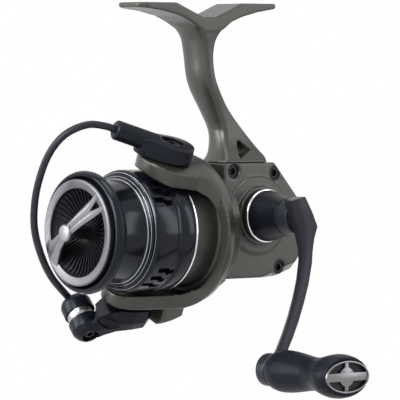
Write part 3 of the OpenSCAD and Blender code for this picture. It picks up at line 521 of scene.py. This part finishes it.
def lathe(profile: Profile, radius: float, steps: int, segments: int, closed: bool = False) -> Obj:
    """Turns a profile about the X axis, with its corners rounded.

    Args:
        profile: Points of X and radius.
        radius: How far each corner is cut back.
        steps: Points on each rounded corner.
        segments: Corners of each ring.
        closed: As in turned and rounded_profile.

    Returns:
        The mesh in millimetres.
    """
    return turned(rounded_profile(profile, radius, steps, closed), segments, closed)


def oval(a: float, b: float, count: int) -> list[tuple[float, float]]:
    """Corners of an oval with half axes a and b."""
    return [(a * math.cos(math.tau * k / count), b * math.sin(math.tau * k / count)) for k in range(count)]


def plate(outline: Profile, low: float, high: float) -> Obj:
    """A flat plate with an outline in X and Y, between two heights in Z.

    Args:
        outline: Its corners in turn.
        low: Z of its lower face.
        high: Z of its upper face.

    Returns:
        The mesh in millimetres.
    """
    clear_choice()
    bpy.ops.mesh.primitive_circle_add(vertices=len(outline), radius=1)
    obj = bpy.context.object
    for corner, (x, y) in zip(obj.data.vertices, outline):
        corner.co = (x, y, low)
    with editing(obj):
        bpy.ops.mesh.edge_face_add()
        bpy.ops.mesh.select_all(action="SELECT")
        bpy.ops.mesh.extrude_region_move(TRANSFORM_OT_translate={"value": (0, 0, high - low)})
    tidy_mesh(obj)
    return obj


def loft(rings: Sequence[Sequence[Point]]) -> Obj:
    """A closed skin over rings of equally many corners.

    Args:
        rings: The rings from one end to the other, in millimetres.

    Returns:
        The mesh in millimetres.
    """
    clear_choice()
    bpy.ops.mesh.primitive_circle_add(vertices=len(rings[0]), radius=1)
    obj = bpy.context.object
    with editing(obj):
        bpy.ops.mesh.edge_face_add()
        for _ in rings[1:]:
            bpy.ops.mesh.extrude_region_move(TRANSFORM_OT_translate={"value": (0, 0, 1)})
    count = len(rings[0])
    for k, ring in enumerate(rings):
        for i, corner in enumerate(ring):
            obj.data.vertices[k * count + i].co = corner
    tidy_mesh(obj)
    return obj


def cut(obj: Obj, others: Sequence[Obj]) -> None:
    """Cuts solids out of a solid and removes them.

    Args:
        obj: The solid that stays.
        others: The solids that cut it.
    """
    for other in others:
        modifier = obj.modifiers.new("cut", "BOOLEAN")
        modifier.operation = "DIFFERENCE"
        modifier.object = other
        modifier.solver = "EXACT"
        apply_all(obj)
        bpy.data.objects.remove(other, do_unlink=True)


def joined(parts: Sequence[Obj]) -> Obj:
    """Joins objects into the first one without cutting them."""
    clear_choice()
    for part in parts:
        part.select_set(True)
    bpy.context.view_layer.objects.active = parts[0]
    bpy.ops.object.join()
    return parts[0]


def moved(obj: Obj, place: Matrix) -> Obj:
    """Moves a mesh in millimetres by a matrix."""
    choose(obj)
    obj.matrix_world = place @ obj.matrix_world
    bpy.ops.object.transform_apply(location=True, rotation=True, scale=True)
    return obj


def cad_copy(node: str) -> Obj:
    """A merged copy of a CAD node, in millimetres.

    Args:
        node: The node's name.

    Returns:
        The copy.
    """
    copy = bpy.data.objects.new(node + "_copy", frame["nodes"][node].data.copy())
    bpy.context.scene.collection.objects.link(copy)
    moved(copy, Matrix.Scale(1 / MM, 4))
    with editing(copy):
        bpy.ops.mesh.remove_doubles(threshold=2e-3)
    return copy


def cast(obj: Obj, voxel: float, passes: int) -> Obj:
    """Turns a sharp solid into a soft-edged casting.

    Args:
        obj: The solid, in millimetres.
        voxel: The size of its new faces.
        passes: How often its corners are relaxed.

    Returns:
        obj.
    """
    skin = obj.modifiers.new("skin", "REMESH")
    skin.mode = "VOXEL"
    skin.voxel_size = voxel
    skin.use_smooth_shade = True
    relax = obj.modifiers.new("relax", "SMOOTH")
    relax.factor = 0.5
    relax.iterations = passes
    apply_all(obj)
    bpy.ops.object.shade_smooth()
    return obj


def deliver(obj: Obj, name: str, finish: Finish, body: str, nodes: Sequence[str] = (),
            place: Matrix | None = None, angle: float | None = None) -> None:
    """Puts a finished mesh in its place, dresses it and ties it to the frame.

    Args:
        obj: The mesh in millimetres, in its maker's own frame.
        name: The piece's name.
        finish: What it is finished in.
        body: The body it moves with.
        nodes: The CAD nodes it stands for.
        place: The frame it was made in, where that isn't the part's own.
        angle: Edges sharper than this many degrees stay sharp. None keeps the shading.
    """
    obj.name = name
    moved(obj, Matrix.Scale(MM, 4) @ (place or Matrix.Identity(4)))
    if angle is not None:
        bpy.ops.object.shade_smooth_by_angle(angle=math.radians(angle))
    obj.data.materials.clear()
    obj.data.materials.append(finish.material())
    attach(obj, body)
    if nodes:
        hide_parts(*nodes)
    LOG.info("%s: %d faces", obj.name, len(obj.data.polygons))


# The studio ---------------------------------------------------------


@dataclass
class Studio:
    """Floor, backdrop, lamps and camera round the part."""

    azimuth: float = 320.7
    elevation: float = 2.0
    aim: Point = (1.3, 0.0, -63.4)
    distance: float = 1174.0
    lens: float = 327.6
    floor_gap: float = 22.0
    floor_tone: float = 0.80
    room_light: float = 0.20
    # Name, place, width and height in millimetres and power in watts of each soft box.
    lamps: Sequence[tuple[str, Point, float, float, float]] = (
        ("key_box", (-900, -250, 450), 450, 600, 12.0),
        ("left_box", (-900, 500, 100), 350, 900, 9.0),
        ("right_box", (760, -780, 200), 250, 900, 2.4),
        ("top_box", (0, -100, 900), 600, 600, 3.2),
    )

    def white_in_view(self, tree: Tree, lit: Socket, kind: str, target: Socket) -> None:
        """Shows plain white to the camera and to the part's own gloss.

        Args:
            tree: The tree of the floor or the world.
            lit: What every other ray meets.
            kind: The node that gives the white.
            target: The output that gets the mix.
        """
        path = tree.nodes.new("ShaderNodeLightPath")
        seen = path.outputs["Is Camera Ray"]
        for ray in ("Is Glossy Ray", "Is Transmission Ray"):
            seen = math_node(tree, "MAXIMUM", seen, path.outputs[ray])
        white = tree.nodes.new(kind)
        white.inputs["Color"].default_value = (1, 1, 1, 1)
        mix = tree.nodes.new("ShaderNodeMixShader")
        for source, slot in zip((seen, lit, white.outputs[0]), mix.inputs):
            tree.links.new(source, slot)
        tree.links.new(mix.outputs[0], target)

    def floor(self) -> None:
        """Lays the floor under the part's lowest point."""
        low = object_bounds()[0][2] / MM
        clear_choice()
        bpy.ops.mesh.primitive_plane_add(size=6, location=(0, 0, (low - self.floor_gap) * MM))
        floor = bpy.context.object
        floor.name = "floor"
        mat = bpy.data.materials.new("floor_white")
        mat.use_nodes = True
        tree = mat.node_tree
        shader = tree.nodes["Principled BSDF"]
        tone = self.floor_tone
        shader.inputs["Base Color"].default_value = (tone, tone, tone, 1)
        shader.inputs["Roughness"].default_value = 0.9
        self.white_in_view(tree, shader.outputs[0], "ShaderNodeEmission",
                           tree.nodes["Material Output"].inputs["Surface"])
        floor.data.materials.append(mat)
        floor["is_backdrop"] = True

    def room(self) -> None:
        """Fills the world with soft white light."""
        world = bpy.data.worlds.new("soft_room")
        bpy.context.scene.world = world
        world.use_nodes = True
        tree = world.node_tree
        room = tree.nodes["Background"]
        room.inputs["Color"].default_value = (1, 1, 1, 1)
        room.inputs["Strength"].default_value = self.room_light
        self.white_in_view(tree, room.outputs[0], "ShaderNodeBackground",
                           tree.nodes["World Output"].inputs["Surface"])

    def lamp(self, name: str, at: Point, wide: float, tall: float, power: float) -> None:
        """Adds a soft box that faces the part.

        Args:
            name: The lamp's name.
            at: Its place in millimetres.
            wide: Its width in millimetres.
            tall: Its height in millimetres.
            power: Its power in watts.
        """
        clear_choice()
        spot = Vector(at) * MM
        bpy.ops.object.light_add(type="AREA", location=spot)
        lamp = bpy.context.object
        lamp.name = name
        lamp.data.shape = "RECTANGLE"
        lamp.data.size = wide * MM
        lamp.data.size_y = tall * MM
        lamp.data.energy = power
        way = Vector(self.aim) * MM - spot
        lamp.rotation_euler = way.to_track_quat("-Z", "Y").to_euler()

    def camera(self) -> None:
        """Sets the camera at the product view."""
        a, e = math.radians(self.azimuth), math.radians(self.elevation)
        back = Vector((math.sin(a) * math.cos(e), -math.cos(a) * math.cos(e), math.sin(e)))
        spot = (Vector(self.aim) + back * self.distance) * MM
        clear_choice()
        bpy.ops.object.camera_add(location=spot, rotation=back.to_track_quat("Z", "Y").to_euler())
        camera = bpy.context.object
        camera.name = "product_camera"
        camera.data.lens = self.lens
        camera.data.sensor_width = 36
        camera.data.clip_end = 20
        bpy.context.scene.camera = camera

    def build(self) -> None:
        """Makes the whole studio."""
        bpy.context.scene.view_settings.view_transform = "Standard"
        self.floor()
        self.room()
        for lamp in self.lamps:
            self.lamp(*lamp)
        self.camera()


# The part -----------------------------------------------------------


@dataclass
class FrameCasting:
    """Foot, stem and gear case in one casting, and the side cover."""

    voxel: float = 0.32
    body_passes: int = 14
    cover_passes: int = 6
    # Corners in X and Z of the recess in the stem, with Y of its floor at each.
    recess: Sequence[tuple[float, float]] = ((11.8, -44.0), (15.8, -47.3), (9.4, -50.2))
    recess_floor: Sequence[float] = (-1.9, -6.5, -4.6)
    recess_mouth: float = -14.0

    def build(self) -> None:
        """Makes the frame's visible pieces."""
        body = cast(cad_copy("body_frame"), self.voxel, self.body_passes)
        floor = [(x, y, z) for (x, z), y in zip(self.recess, self.recess_floor)]
        cut(body, [loft([floor, [(x, self.recess_mouth, z) for x, z in self.recess]])])
        deliver(body, "body_casting", OLIVE, "frame", ["body_frame"])
        cover = cast(cad_copy("side_cover"), self.voxel, self.cover_passes)
        deliver(cover, "cover_plate", OLIVE, "frame", ["side_cover"])


@dataclass
class RotorCasting:
    """Rotor with its two arms, the wall inside it and the lower arm's cover."""

    voxel: float = 0.36
    passes: int = 8
    cover_voxel: float = 0.25
    cover_passes: int = 4
    well: Profile = ((-16.6, 16.4), (-16.6, 17.95), (-6.1, 17.95), (-5.3, 18.6), (-5.4, 19.8), (-7.5, 21.3),
                     (-4.6, 21.3), (-4.6, 16.4))
    # Place along X, half width and lowest point of each of the cover's sections.
    cover_stations: Sequence[Point] = ((-11.8, 7.9, -31.0), (-10.0, 7.9, -31.0), (-6.0, 7.4, -30.4),
                                       (-2.4, 6.8, -29.4))
    cover_root: float = -23.4

    def cover(self) -> Obj:
        """The low cover under the lower arm, stepped at its rear end."""
        rings = []
        for x, half, low in self.cover_stations:
            side = [(half, self.cover_root), (half, low + 1.6), (half - 1.8, low + 0.2)]
            other = [(-y, z) for y, z in side]
            rings.append([(x, y, z) for y, z in other + [(0.0, low)] + side[::-1]])
        return cast(loft(rings), self.cover_voxel, self.cover_passes)

    def build(self) -> None:
        """Makes the rotor's visible pieces."""
        rotor = cast(cad_copy("rotor"), self.voxel, self.passes)
        deliver(rotor, "rotor_casting", OLIVE, "rotor_group", ["rotor"])
        well = lathe(self.well, 0.3, 3, 160, True)
        deliver(well, "rotor_well", OLIVE, "rotor_group", (), rotor_frame(), 40)
        deliver(self.cover(), "arm_cover", OLIVE, "rotor_group", ["spring_cover"],
                rotor_frame())


@dataclass
class Spool:
    """Spool with its lip, line bed, silver rings and slotted skirt."""

    lip_x: float = -46.0
    lip_r: float = 19.5
    arbour_r: float = 16.2
    skirt_x: float = -31.4
    skirt_r: float = 19.5
    skirt_end: float = -16.0
    skirt_wall: float = 1.1
    slot_width: float = 1.9
    slot_turn: float = 128.0
    slot_groups: int = 4
    slots_each: int = 3
    slot_joggle: float = 1.1
    segments: int = 160

    def shell(self) -> Obj:
        """The spool's turned body, lip and skirt in one."""
        lip, lip_r, bed, skirt, wide = self.lip_x, self.lip_r, self.arbour_r, self.skirt_x, self.skirt_r
        front = [(lip - 0.9, 17.5), (lip - 1.35, 17.9), (lip - 1.3, 18.7), (lip - 0.7, 19.2),
                 (lip + 0.2, lip_r), (lip + 0.75, lip_r), (lip + 0.95, lip_r - 0.28),
                 (lip + 1.2, lip_r - 0.28), (lip + 1.4, lip_r - 0.1), (lip + 2.2, lip_r - 0.7),
                 (lip + 3.1, lip_r - 2.0)]
        middle = [(lip + 3.9, bed + 0.5), (lip + 4.5, bed), (skirt - 2.3, bed), (skirt - 2.0, bed + 0.35),
                  (skirt - 1.5, bed + 0.75), (skirt - 1.25, bed + 1.15), (skirt - 0.7, bed + 1.65)]
        rear = [(skirt - 0.45, wide - 0.95), (skirt - 0.1, wide - 0.3), (skirt + 0.5, wide),
                (skirt + 8.2, wide), (skirt + 8.7, wide - 0.55), (skirt + 10.5, wide - 0.55),
                (skirt + 11.0, wide), (self.skirt_end, wide)]
        inner = [(self.skirt_end, wide - self.skirt_wall), (skirt + 2, wide - 1.3), (skirt + 1, 14.4),
                 (skirt + 1, 4.4), (-33.5, 4.4), (-33.5, 13.2), (lip + 1, 13.2), (lip + 1, 16.9)]
        return lathe(front + middle + rear + inner, 0.22, 2, self.segments, True)

    def slot_cutters(self) -> list[Obj]:
        """Stepped slots in groups round the skirt, as solids."""
        half, off = self.slot_width / 2, self.slot_joggle
        outline = [(0, -half), (3.2, -half), (3.9, -half - off), (6.6, -half - off), (7.0, half - off),
                   (4.5, half - off), (3.8, half), (-0.4, half)]
        made = []
        for group in range(self.slot_groups):
            for k in range(self.slots_each):
                turn = Matrix.Rotation(math.radians(self.slot_turn + 90 * group + 10 * k), 4, "X")
                place = turn @ Matrix.Translation((self.skirt_x + 3.4 - 1.3 * k, 0, 0))
                made.append(moved(plate(outline, self.skirt_r - 3, self.skirt_r + 3), place))
        return made

    def rings(self) -> Obj:
        """The thin rings behind the line bed."""
        spots = [(self.skirt_x - 2.02, self.arbour_r + 0.42, 0.28),
                 (self.skirt_x - 1.22, self.arbour_r + 1.22, 0.28),
                 (self.skirt_x - 0.42, self.skirt_r - 0.82, 0.24)]
        return joined([lathe([(x, r - 0.5), (x, r), (x + wide, r + 0.12), (x + wide, r - 0.5)],
                             0.06, 2, self.segments, True) for x, r, wide in spots])

    def build(self) -> None:
        """Makes the spool's visible pieces."""
        place = spool_frame()
        shell = self.shell()
        cut(shell, [joined(self.slot_cutters())])
        bevel(shell, 0.12, 40)
        deliver(shell, "spool_turning", SPOOL_BLACK, "spool_group",
                ["spool", "spool_skirt"], place, 30)
        deliver(self.rings(), "spool_rings", PLAIN_STEEL, "spool_group", ["spool_trim"], place, 40)
        end, wide, inner = self.skirt_end, self.skirt_r, self.skirt_r - self.skirt_wall
        edge = lathe([(end, inner), (end, wide + 0.02), (end + 0.85, wide - 0.05), (end + 1, wide - 0.3),
                      (end + 1, inner)], 0.12, 2, self.segments, True)
        deliver(edge, "skirt_edge", BRIGHT, "spool_group", ["skirt_ring"], place, 40)
        lip, bed = self.lip_x, self.arbour_r
        seam = turned([(lip + 4.25, bed - 0.3), (lip + 4.2, bed + 0.12), (lip + 4.4, bed + 0.06),
                       (lip + 4.45, bed - 0.3)], self.segments, True)
        deliver(seam, "bed_seam", SEAM_BROWN, "spool_group", (), place, 40)


@dataclass
class DragKnob:
    """Drag knob: silver ring, ribbed cup and the raised forked bar."""

    face_x: float = -48.6
    radius: float = 16.9
    ring_width: float = 2.9
    rise: float = 5.4
    ribs: int = 44
    rib_half: float = 0.16
    segments: int = 160
    fork_way: float = 139.0
    tail_way: float = -27.0
    # Distance from the middle, low edge, ridge, high edge and height of the ridge.
    fork: Sequence[tuple[float, ...]] = (
        (0.0, -0.1, 1.0, 1.9, 5.2), (3.2, -0.1, 1.1, 1.95, 4.7), (7.0, -0.1, 1.2, 2.3, 3.5),
        (10.6, -0.05, 1.4, 2.75, 2.1), (13.4, 0.95, 2.0, 3.0, 1.15), (16.0, 1.75, 2.5, 3.25, 0.6))
    tail: Sequence[tuple[float, ...]] = (
        (0.0, -1.9, -0.2, 1.9, 5.1), (3.4, -2.0, -0.3, 1.9, 4.5), (7.4, -2.6, -0.6, 2.2, 3.4),
        (11.4, -3.9, -1.0, 2.8, 1.9), (14.4, -5.2, -1.2, 3.6, 0.9), (16.2, -6.0, -1.2, 4.4, 0.45))

    def ring(self) -> Obj:
        """The flat silver ring round the cup."""
        x, r, w = self.face_x, self.radius, self.ring_width
        return lathe([(x + 1.2, r - 0.5), (x + 0.2, r), (x - 0.25, r - 0.15), (x - 0.4, r - 0.5),
                      (x - 0.05, r - w + 0.2), (x + 0.15, r - w), (x + 1.2, r - w)],
                     0.1, 2, self.segments, True)

    def cup(self) -> Obj:
        """The dark cup behind the ring, with its post."""
        x, r = self.face_x, self.radius
        return lathe([(x + 3.2, r - 0.2), (x + 0.6, r - 0.2), (x + 0.6, r - 2.8), (x + 1.4, r - 3.1),
                      (x + 2.6, r - 4.6), (x + 4.8, 6.0), (x + 5.4, 2.4), (x + 1.0, 1.9), (x - 3.8, 1.8),
                      (x - 3.8, 0.8), (x + 4, 0.8), (x + 7.0, 3.4), (x + 7.0, 9), (x + 4.4, r - 2.0)],
                     0.3, 2, self.segments, True)

    def fins(self) -> Obj:
        """Thin fins that run out from the post over the cup's floor."""
        x, r = self.face_x, self.radius
        outline = [(x + 6.2, 2.2), (x + 4.5, 2.2), (x + 3.8, 5.0), (x + 1.7, r - 4.4), (x + 0.9, r - 3.2),
                   (x + 2.6, r - 3.0), (x + 5.6, 6.4)]
        turns = [math.tau * k / self.ribs + math.pi / 2 for k in range(self.ribs)]
        return joined([moved(plate(outline, -self.rib_half, self.rib_half), Matrix.Rotation(turn, 4, "X"))
                       for turn in turns])

    def blade(self, stations: Sequence[tuple[float, ...]], way: float, mirror: bool = False) -> Obj:
        """A ridged blade of the bar.

        Args:
            stations: Its sections from the hub out, as in fork and tail.
            way: The blade's direction in degrees, from local Y towards Z.
            mirror: True swaps its low and high side.

        Returns:
            The blade.
        """
        rings = []
        for s, low, ridge, high, rise in stations:
            if mirror:
                low, ridge, high = -high, -ridge, -low
            top = self.face_x - rise
            rings.append([(top + 1.9, s, low + 0.15), (top + 0.75, s, low), (top, s, ridge),
                          (top + 0.75, s, high), (top + 1.9, s, high - 0.15)])
        obj = loft(rings)
        bevel(obj, 0.16, 20)
        return moved(obj, Matrix.Rotation(math.radians(way), 4, "X"))

    def bar(self) -> Obj:
        """Hub, forked upper blade and wide lower blade."""
        x = self.face_x - self.rise
        hub = [(x + 2.6, 0.0), (x + 2.6, 2.5), (x + 0.7, 2.8), (x, 2.5), (x - 0.1, 0.0)]
        return joined([self.blade(self.fork, self.fork_way), self.blade(self.fork, self.fork_way, True),
                       self.blade(self.tail, self.tail_way), lathe(hub, 0.35, 3, 64)])

    def build(self) -> None:
        """Makes the knob's visible pieces."""
        place = spool_frame()
        deliver(self.ring(), "drag_ring", RING_SILVER, "drag_knob", ["drag_knob_trim"], place, 40)
        deliver(self.bar(), "drag_bar", TURNED_SILVER, "drag_knob", (), place, 28)
        cup = joined([self.cup(), self.fins()])
        deliver(cup, "drag_cup", MOULDED_BLACK, "drag_knob", ["drag_knob_body"], place, 35)


@dataclass
class BailSet:
    """Bail wire with its holder, lever, caps and line roller."""

    cap_r: float = 5.1
    roller_r: float = 4.5
    lip: float = 1.35
    # Height of the arms' outer faces above the spool's axis.
    face: float = 25.55
    # Place along X, middle in Y, half width, and base and top above the arm's face.
    lever_stations: Sequence[tuple[float, ...]] = (
        (7.2, 0, 2.6, 0, 5.4), (5.2, 0, 5.6, 0, 6.9), (0.6, 0, 7.4, 0, 7.6), (-4, -0.8, 6.9, 0.1, 8.5),
        (-8, -2.0, 5.9, 1.0, 10.1), (-11.4, -3.4, 4.6, 3.4, 12.0), (-13.4, -4.2, 3.6, 5.2, 13.3))
    holder_stations: Sequence[tuple[float, ...]] = (
        (7.0, 0, 2.4, 0, 3.2), (5.2, 0, 5.2, 0, 4.8), (0.8, 0, 6.9, 0, 5.4), (-3.6, 0, 6.2, 0, 5.8),
        (-7.6, 0, 4.6, 0.4, 6.1), (-10.2, 0, 3.4, 0.9, 6.0))
    pocket: Profile = ((-5.2, 0), (-4.6, 1.0), (-2.6, 1.7), (0, 2.0), (2.6, 1.7), (4.6, 1.0), (5.2, 0))
    # Middle of the lever's pocket, its height below the arm's face, and its turn in radians.
    pocket_x: float = -7.4
    pocket_y: float = -8.2
    pocket_drop: float = 5.0
    pocket_turn: float = 0.35

    def roller_place(self) -> Matrix:
        """X along the line roller, from its screw to its wire end."""
        across = Vector((1, 0, 0)).cross(ROLLER_AXIS).normalized()
        turn = Matrix((across, ROLLER_AXIS.cross(across), ROLLER_AXIS)).transposed().to_4x4()
        return Matrix.Translation(ROLLER_AT) @ turn @ FROM_X

    def boot(self, stations: Sequence[tuple[float, ...]], side: int) -> Obj:
        """A soft body over one of the pivots, in the bail's own frame.

        Args:
            stations: Its sections, as in lever_stations.
            side: 1 above the spool axis, -1 below it.

        Returns:
            The body.
        """
        rings = []
        for x, middle, half, low, high in stations:
            base, top = self.face + low, self.face + high
            waist = base + 0.55 * (top - base)
            ring = [(1.0, base), (1.0, waist), (0.78, top - 0.5), (0.35, top), (-0.35, top),
                    (-0.78, top - 0.5), (-1.0, waist), (-1.0, base)]
            rings.append([(x, middle + half * y, side * z) for y, z in ring])
        return loft(rings)

    def lever(self) -> None:
        """The boot that carries the line roller, with its pocket and screw."""
        r, place, roller = self.cap_r, bail_frame(), self.roller_place()
        body = moved(self.boot(self.lever_stations, -1), place)
        cap = lathe([(-2.6, 0.0), (-2.6, r - 0.5), (-5.4, r - 0.5), (-7.0, r - 1.6), (-7.2, 0.0)], 0.6, 3, 64)
        body = joined([body, moved(cap, roller)])
        hollow = Matrix.Translation((self.pocket_x, self.pocket_y, -self.face - self.pocket_drop))
        pocket = moved(turned(self.pocket, 32), place @ hollow @ Matrix.Rotation(self.pocket_turn, 4, "Y"))
        cast(body, 0.22, 8)
        room = moved(turned([(-2.3, 0), (-2.3, r + 0.55), (9, r + 0.55), (9, 0)], 64), roller)
        head = moved(turned([(-9.5, 0), (-9.5, 2.55), (-6.0, 2.55), (-6.0, 0)], 48), roller)
        pivot = moved(turned([(-40, 0), (-40, 3.3), (-29.0, 3.3), (-29.0, 0)], 48), place @ FROM_X)
        cut(body, [room, head, pivot, pocket])
        deliver(body, "roller_boot", SATIN_BLACK, "bail", ["bail_lever"], None, 40)
        screw = lathe([(-7.0, 0), (-7.0, 1.9), (-6.2, 2.1), (-5.8, 2.1), (-5.8, 0)], 0.2, 2, 48)
        cut(screw, [turned([(-8, 0), (-8, 1.1), (-6.3, 1.1), (-6.3, 0)], 6)])
        deliver(screw, "roller_screw_head", MOULDED_BLACK, "bail", ["roller_screw"],
                roller, 30)

    def holder(self) -> None:
        """The boot that carries the wire's other end."""
        body = joined([moved(self.boot(self.holder_stations, 1), bail_frame()), cad_copy("bail_holder")])
        cast(body, 0.2, 8)
        cut(body, [moved(plate(oval(3.9, 2.9, 40), self.face + 3.6, self.face + 12), bail_frame())])
        deliver(body, "wire_boot", SATIN_BLACK, "bail", ["bail_holder"], None, 40)

    def caps(self) -> None:
        """Domed caps at both ends of the line roller."""
        r, lip, inner, place = self.cap_r, self.lip, self.roller_r + 0.2, self.roller_place()
        wire_end = lathe([(2.2, 0.0), (2.2, inner), (lip, inner), (lip, r), (5.2, r), (6.6, r - 0.7),
                          (7.5, r - 2.4), (7.7, 0.0)], 0.45, 4, 96)
        deliver(wire_end, "wire_end_cap", SATIN_BLACK, "bail", ["wire_cap"], place, 50)
        screw_end = lathe([(-2.2, inner - 1), (-2.2, inner), (-lip, inner), (-lip, r), (-4.9, r),
                           (-6.6, r - 0.8), (-7.6, r - 1.9), (-7.6, 2.9), (-6.9, 2.5), (-5.6, 2.4),
                           (-5.6, 1.2), (-4.6, 1.2)], 0.35, 4, 96, True)
        deliver(screw_end, "screw_end_cap", SATIN_BLACK, "bail", (), place, 50)

    def roller(self) -> None:
        """The silver line roller with its shallow groove."""
        r = self.roller_r
        obj = lathe([(-1.95, 2.7), (-1.95, r - 0.1), (-1.7, r), (-1.2, r), (0, r - 0.22), (1.2, r), (1.7, r),
                     (1.95, r - 0.1), (1.95, 2.7)], 0.12, 3, 96, True)
        deliver(obj, "line_roller_turning", PLAIN_STEEL, "roller", ["line_roller"],
                self.roller_place(), 40)

    def build(self) -> None:
        """Makes the bail's visible pieces."""
        self.lever()
        self.holder()
        self.caps()
        self.roller()
        deliver(cad_copy("bail_wire"), "bail_wire_rod", ARM_BLACK, "bail", ["bail_wire"],
                None, 60)


@dataclass
class HandleSet:
    """Handle collar, arm and knob."""

    boss_face: float = 45.4
    knob_length: float = 33.0
    bezel: tuple[float, float] = (8.7, 5.0)
    neck_r: float = 5.5
    # Left and right edge of the outer face in X and Z, its distance from the centre plane, and depth.
    arm_stations: Sequence[tuple[float, ...]] = (
        (8.7, -62.9, 15.0, -61.6, 36.6, 4.9), (9.7, -67.2, 17.9, -66.4, 36.6, 4.9),
        (11.6, -71.2, 20.2, -71.2, 36.6, 4.8), (12.7, -74.4, 18.7, -75.1, 36.8, 4.4),
        (13.0, -78.1, 17.7, -79.2, 37.1, 3.8), (12.5, -81.6, 17.0, -82.9, 37.6, 3.4),
        (10.4, -87.6, 14.6, -89.2, 38.8, 3.2), (7.4, -93.2, 11.3, -95.2, 40.3, 3.1),
        (3.9, -98.6, 7.6, -100.8, 42.0, 3.0), (0.2, -103.8, 3.6, -106.2, 43.6, 3.0),
        (-3.4, -108.6, -0.3, -111.2, 44.8, 3.0), (-6.4, -112.0, -3.8, -115.2, 45.2, 3.0))
    collar_profile: Profile = (
        (-28.05, 2.6), (-28.05, 6.0), (-27.6, 6.1), (-25.4, 6.4), (-23.0, 6.95), (-20.8, 7.6), (-19.0, 8.05),
        (-18.1, 8.25), (-17.6, 8.2), (-17.6, 2.6))
    ring_profile: Profile = (
        (-17.6, 2.7), (-17.6, 8.35), (-17.3, 8.6), (-16.5, 8.6), (-16.3, 8.4), (-16.3, 2.7))

    def knob_end(self) -> None:
        """The oval bezel with its plain barred plate."""
        z = self.boss_face + 0.5 + self.knob_length
        a, b = self.bezel
        place = knob_frame()
        bezel = plate(oval(a, b, 72), z - 1.4, z + 0.42)
        cut(bezel, [plate(oval(a - 0.55, b - 0.55, 72), z - 3, z + 3)])
        bevel(bezel, 0.15, 40)
        deliver(bezel, "grip_bezel", BRUSHED_SILVER, "knob", ["knob_bezel"], place, 40)
        floor = plate(oval(a - 0.5, b - 0.5, 72), z - 1.5, z - 0.9)
        deliver(floor, "grip_end_floor", MOULDED_BLACK, "knob", (), place, 40)
        half = a - 0.4
        bar = plate([(-half, -1.3), (half, -1.3), (half, 1.3), (-half, 1.3)], z - 1.0, z + 0.15)
        disc = plate(oval(3.0, 3.0, 48), z - 1.0, z - 0.1)
        post = plate([(-0.75, -4.9), (0.75, -4.9), (0.75, 4.9), (-0.75, 4.9)], z - 1.0, z - 0.15)
        for piece in (bar, disc, post):
            bevel(piece, 0.14, 40)
        bars = joined([bar, disc, post])
        deliver(bars, "grip_end_bars", BRUSHED_SILVER, "knob", ["knob_insert"], place, 35)

    def collar(self) -> None:
        """The flared collar and its bright ring."""
        place = drive_frame() @ FROM_X
        collar = lathe(self.collar_profile, 0.4, 3, 128, True)
        deliver(collar, "crank_collar", SATIN_BLACK, "drive", ["handle_collar"], place, 40)
        ring = lathe(self.ring_profile, 0.12, 2, 128, True)
        deliver(ring, "collar_bright_ring", BRIGHT, "drive", ["collar_ring"], place, 40)

    def arm(self) -> None:
        """The curved arm with its faceted hub, neck and knob boss."""
        back = Vector((0, 1, 0))
        rings = []
        for lx, lz, rx, rz, out, deep in self.arm_stations:
            left, right = Vector((lx, -out, lz)), Vector((rx, -out, rz))
            way = (right - left).normalized()
            rings.append([tuple(v) for v in (
                left, left * 0.5 + right * 0.5 - back * 0.3, right - way * 0.5, right + back * 0.7,
                right - way * 0.7 + back * deep, left + way * 1.1 + back * deep,
                left + way * 0.25 + back * 1.1)])
        blade = loft(rings)
        bevel(blade, 0.22, 22)
        r, out = self.neck_r, self.boss_face
        neck = lathe([(-32.6, 0), (-32.6, r - 0.2), (-31.5, r - 0.1), (-28.6, r + 0.35), (-28.15, r + 0.4),
                      (-28.15, 0)], 0.3, 3, 96)
        boss = lathe([(out - 4.4, 0), (out - 4.4, 4.6), (out - 3.8, 5.2), (out - 0.5, 5.2), (out, 4.8),
                      (out, 0)], 0.25, 3, 96)
        whole = joined([blade, moved(neck, drive_frame() @ FROM_X), moved(boss, knob_frame() @ FROM_X)])
        deliver(whole, "crank_arm", ARM_BLACK, "drive", ["handle_arm"], None, 32)

    def build(self) -> None:
        """Makes the handle's visible pieces."""
        self.arm()
        self.collar()
        grip = cast(cad_copy("knob_grip"), 0.25, 10)
        deliver(grip, "grip_body", GRIP_BLACK, "knob", ["knob_grip"])
        self.knob_end()


def dress_cad() -> None:
    """Gives every CAD node that still shows the finish of its slot."""
    slots = {part["node"]: part["material_slot"] for part in frame["record"]["subparts"]}
    for node, obj in frame["nodes"].items():
        if obj.hide_render:
            continue
        obj.data.materials.clear()
        obj.data.materials.append(SLOT_FINISH[slots[node]].material())
        LOG.info("%s keeps its CAD mesh", node)


def main() -> None:
    """Builds the studio and every piece of the part."""
    logging.basicConfig(level=logging.INFO, format="%(name)s: %(message)s")
    for maker in (Studio, FrameCasting, RotorCasting, Spool, DragKnob, BailSet, HandleSet):
        maker().build()
    dress_cad()
    clear_choice()
    bpy.context.view_layer.update()


if __name__ == "__main__":
    main()
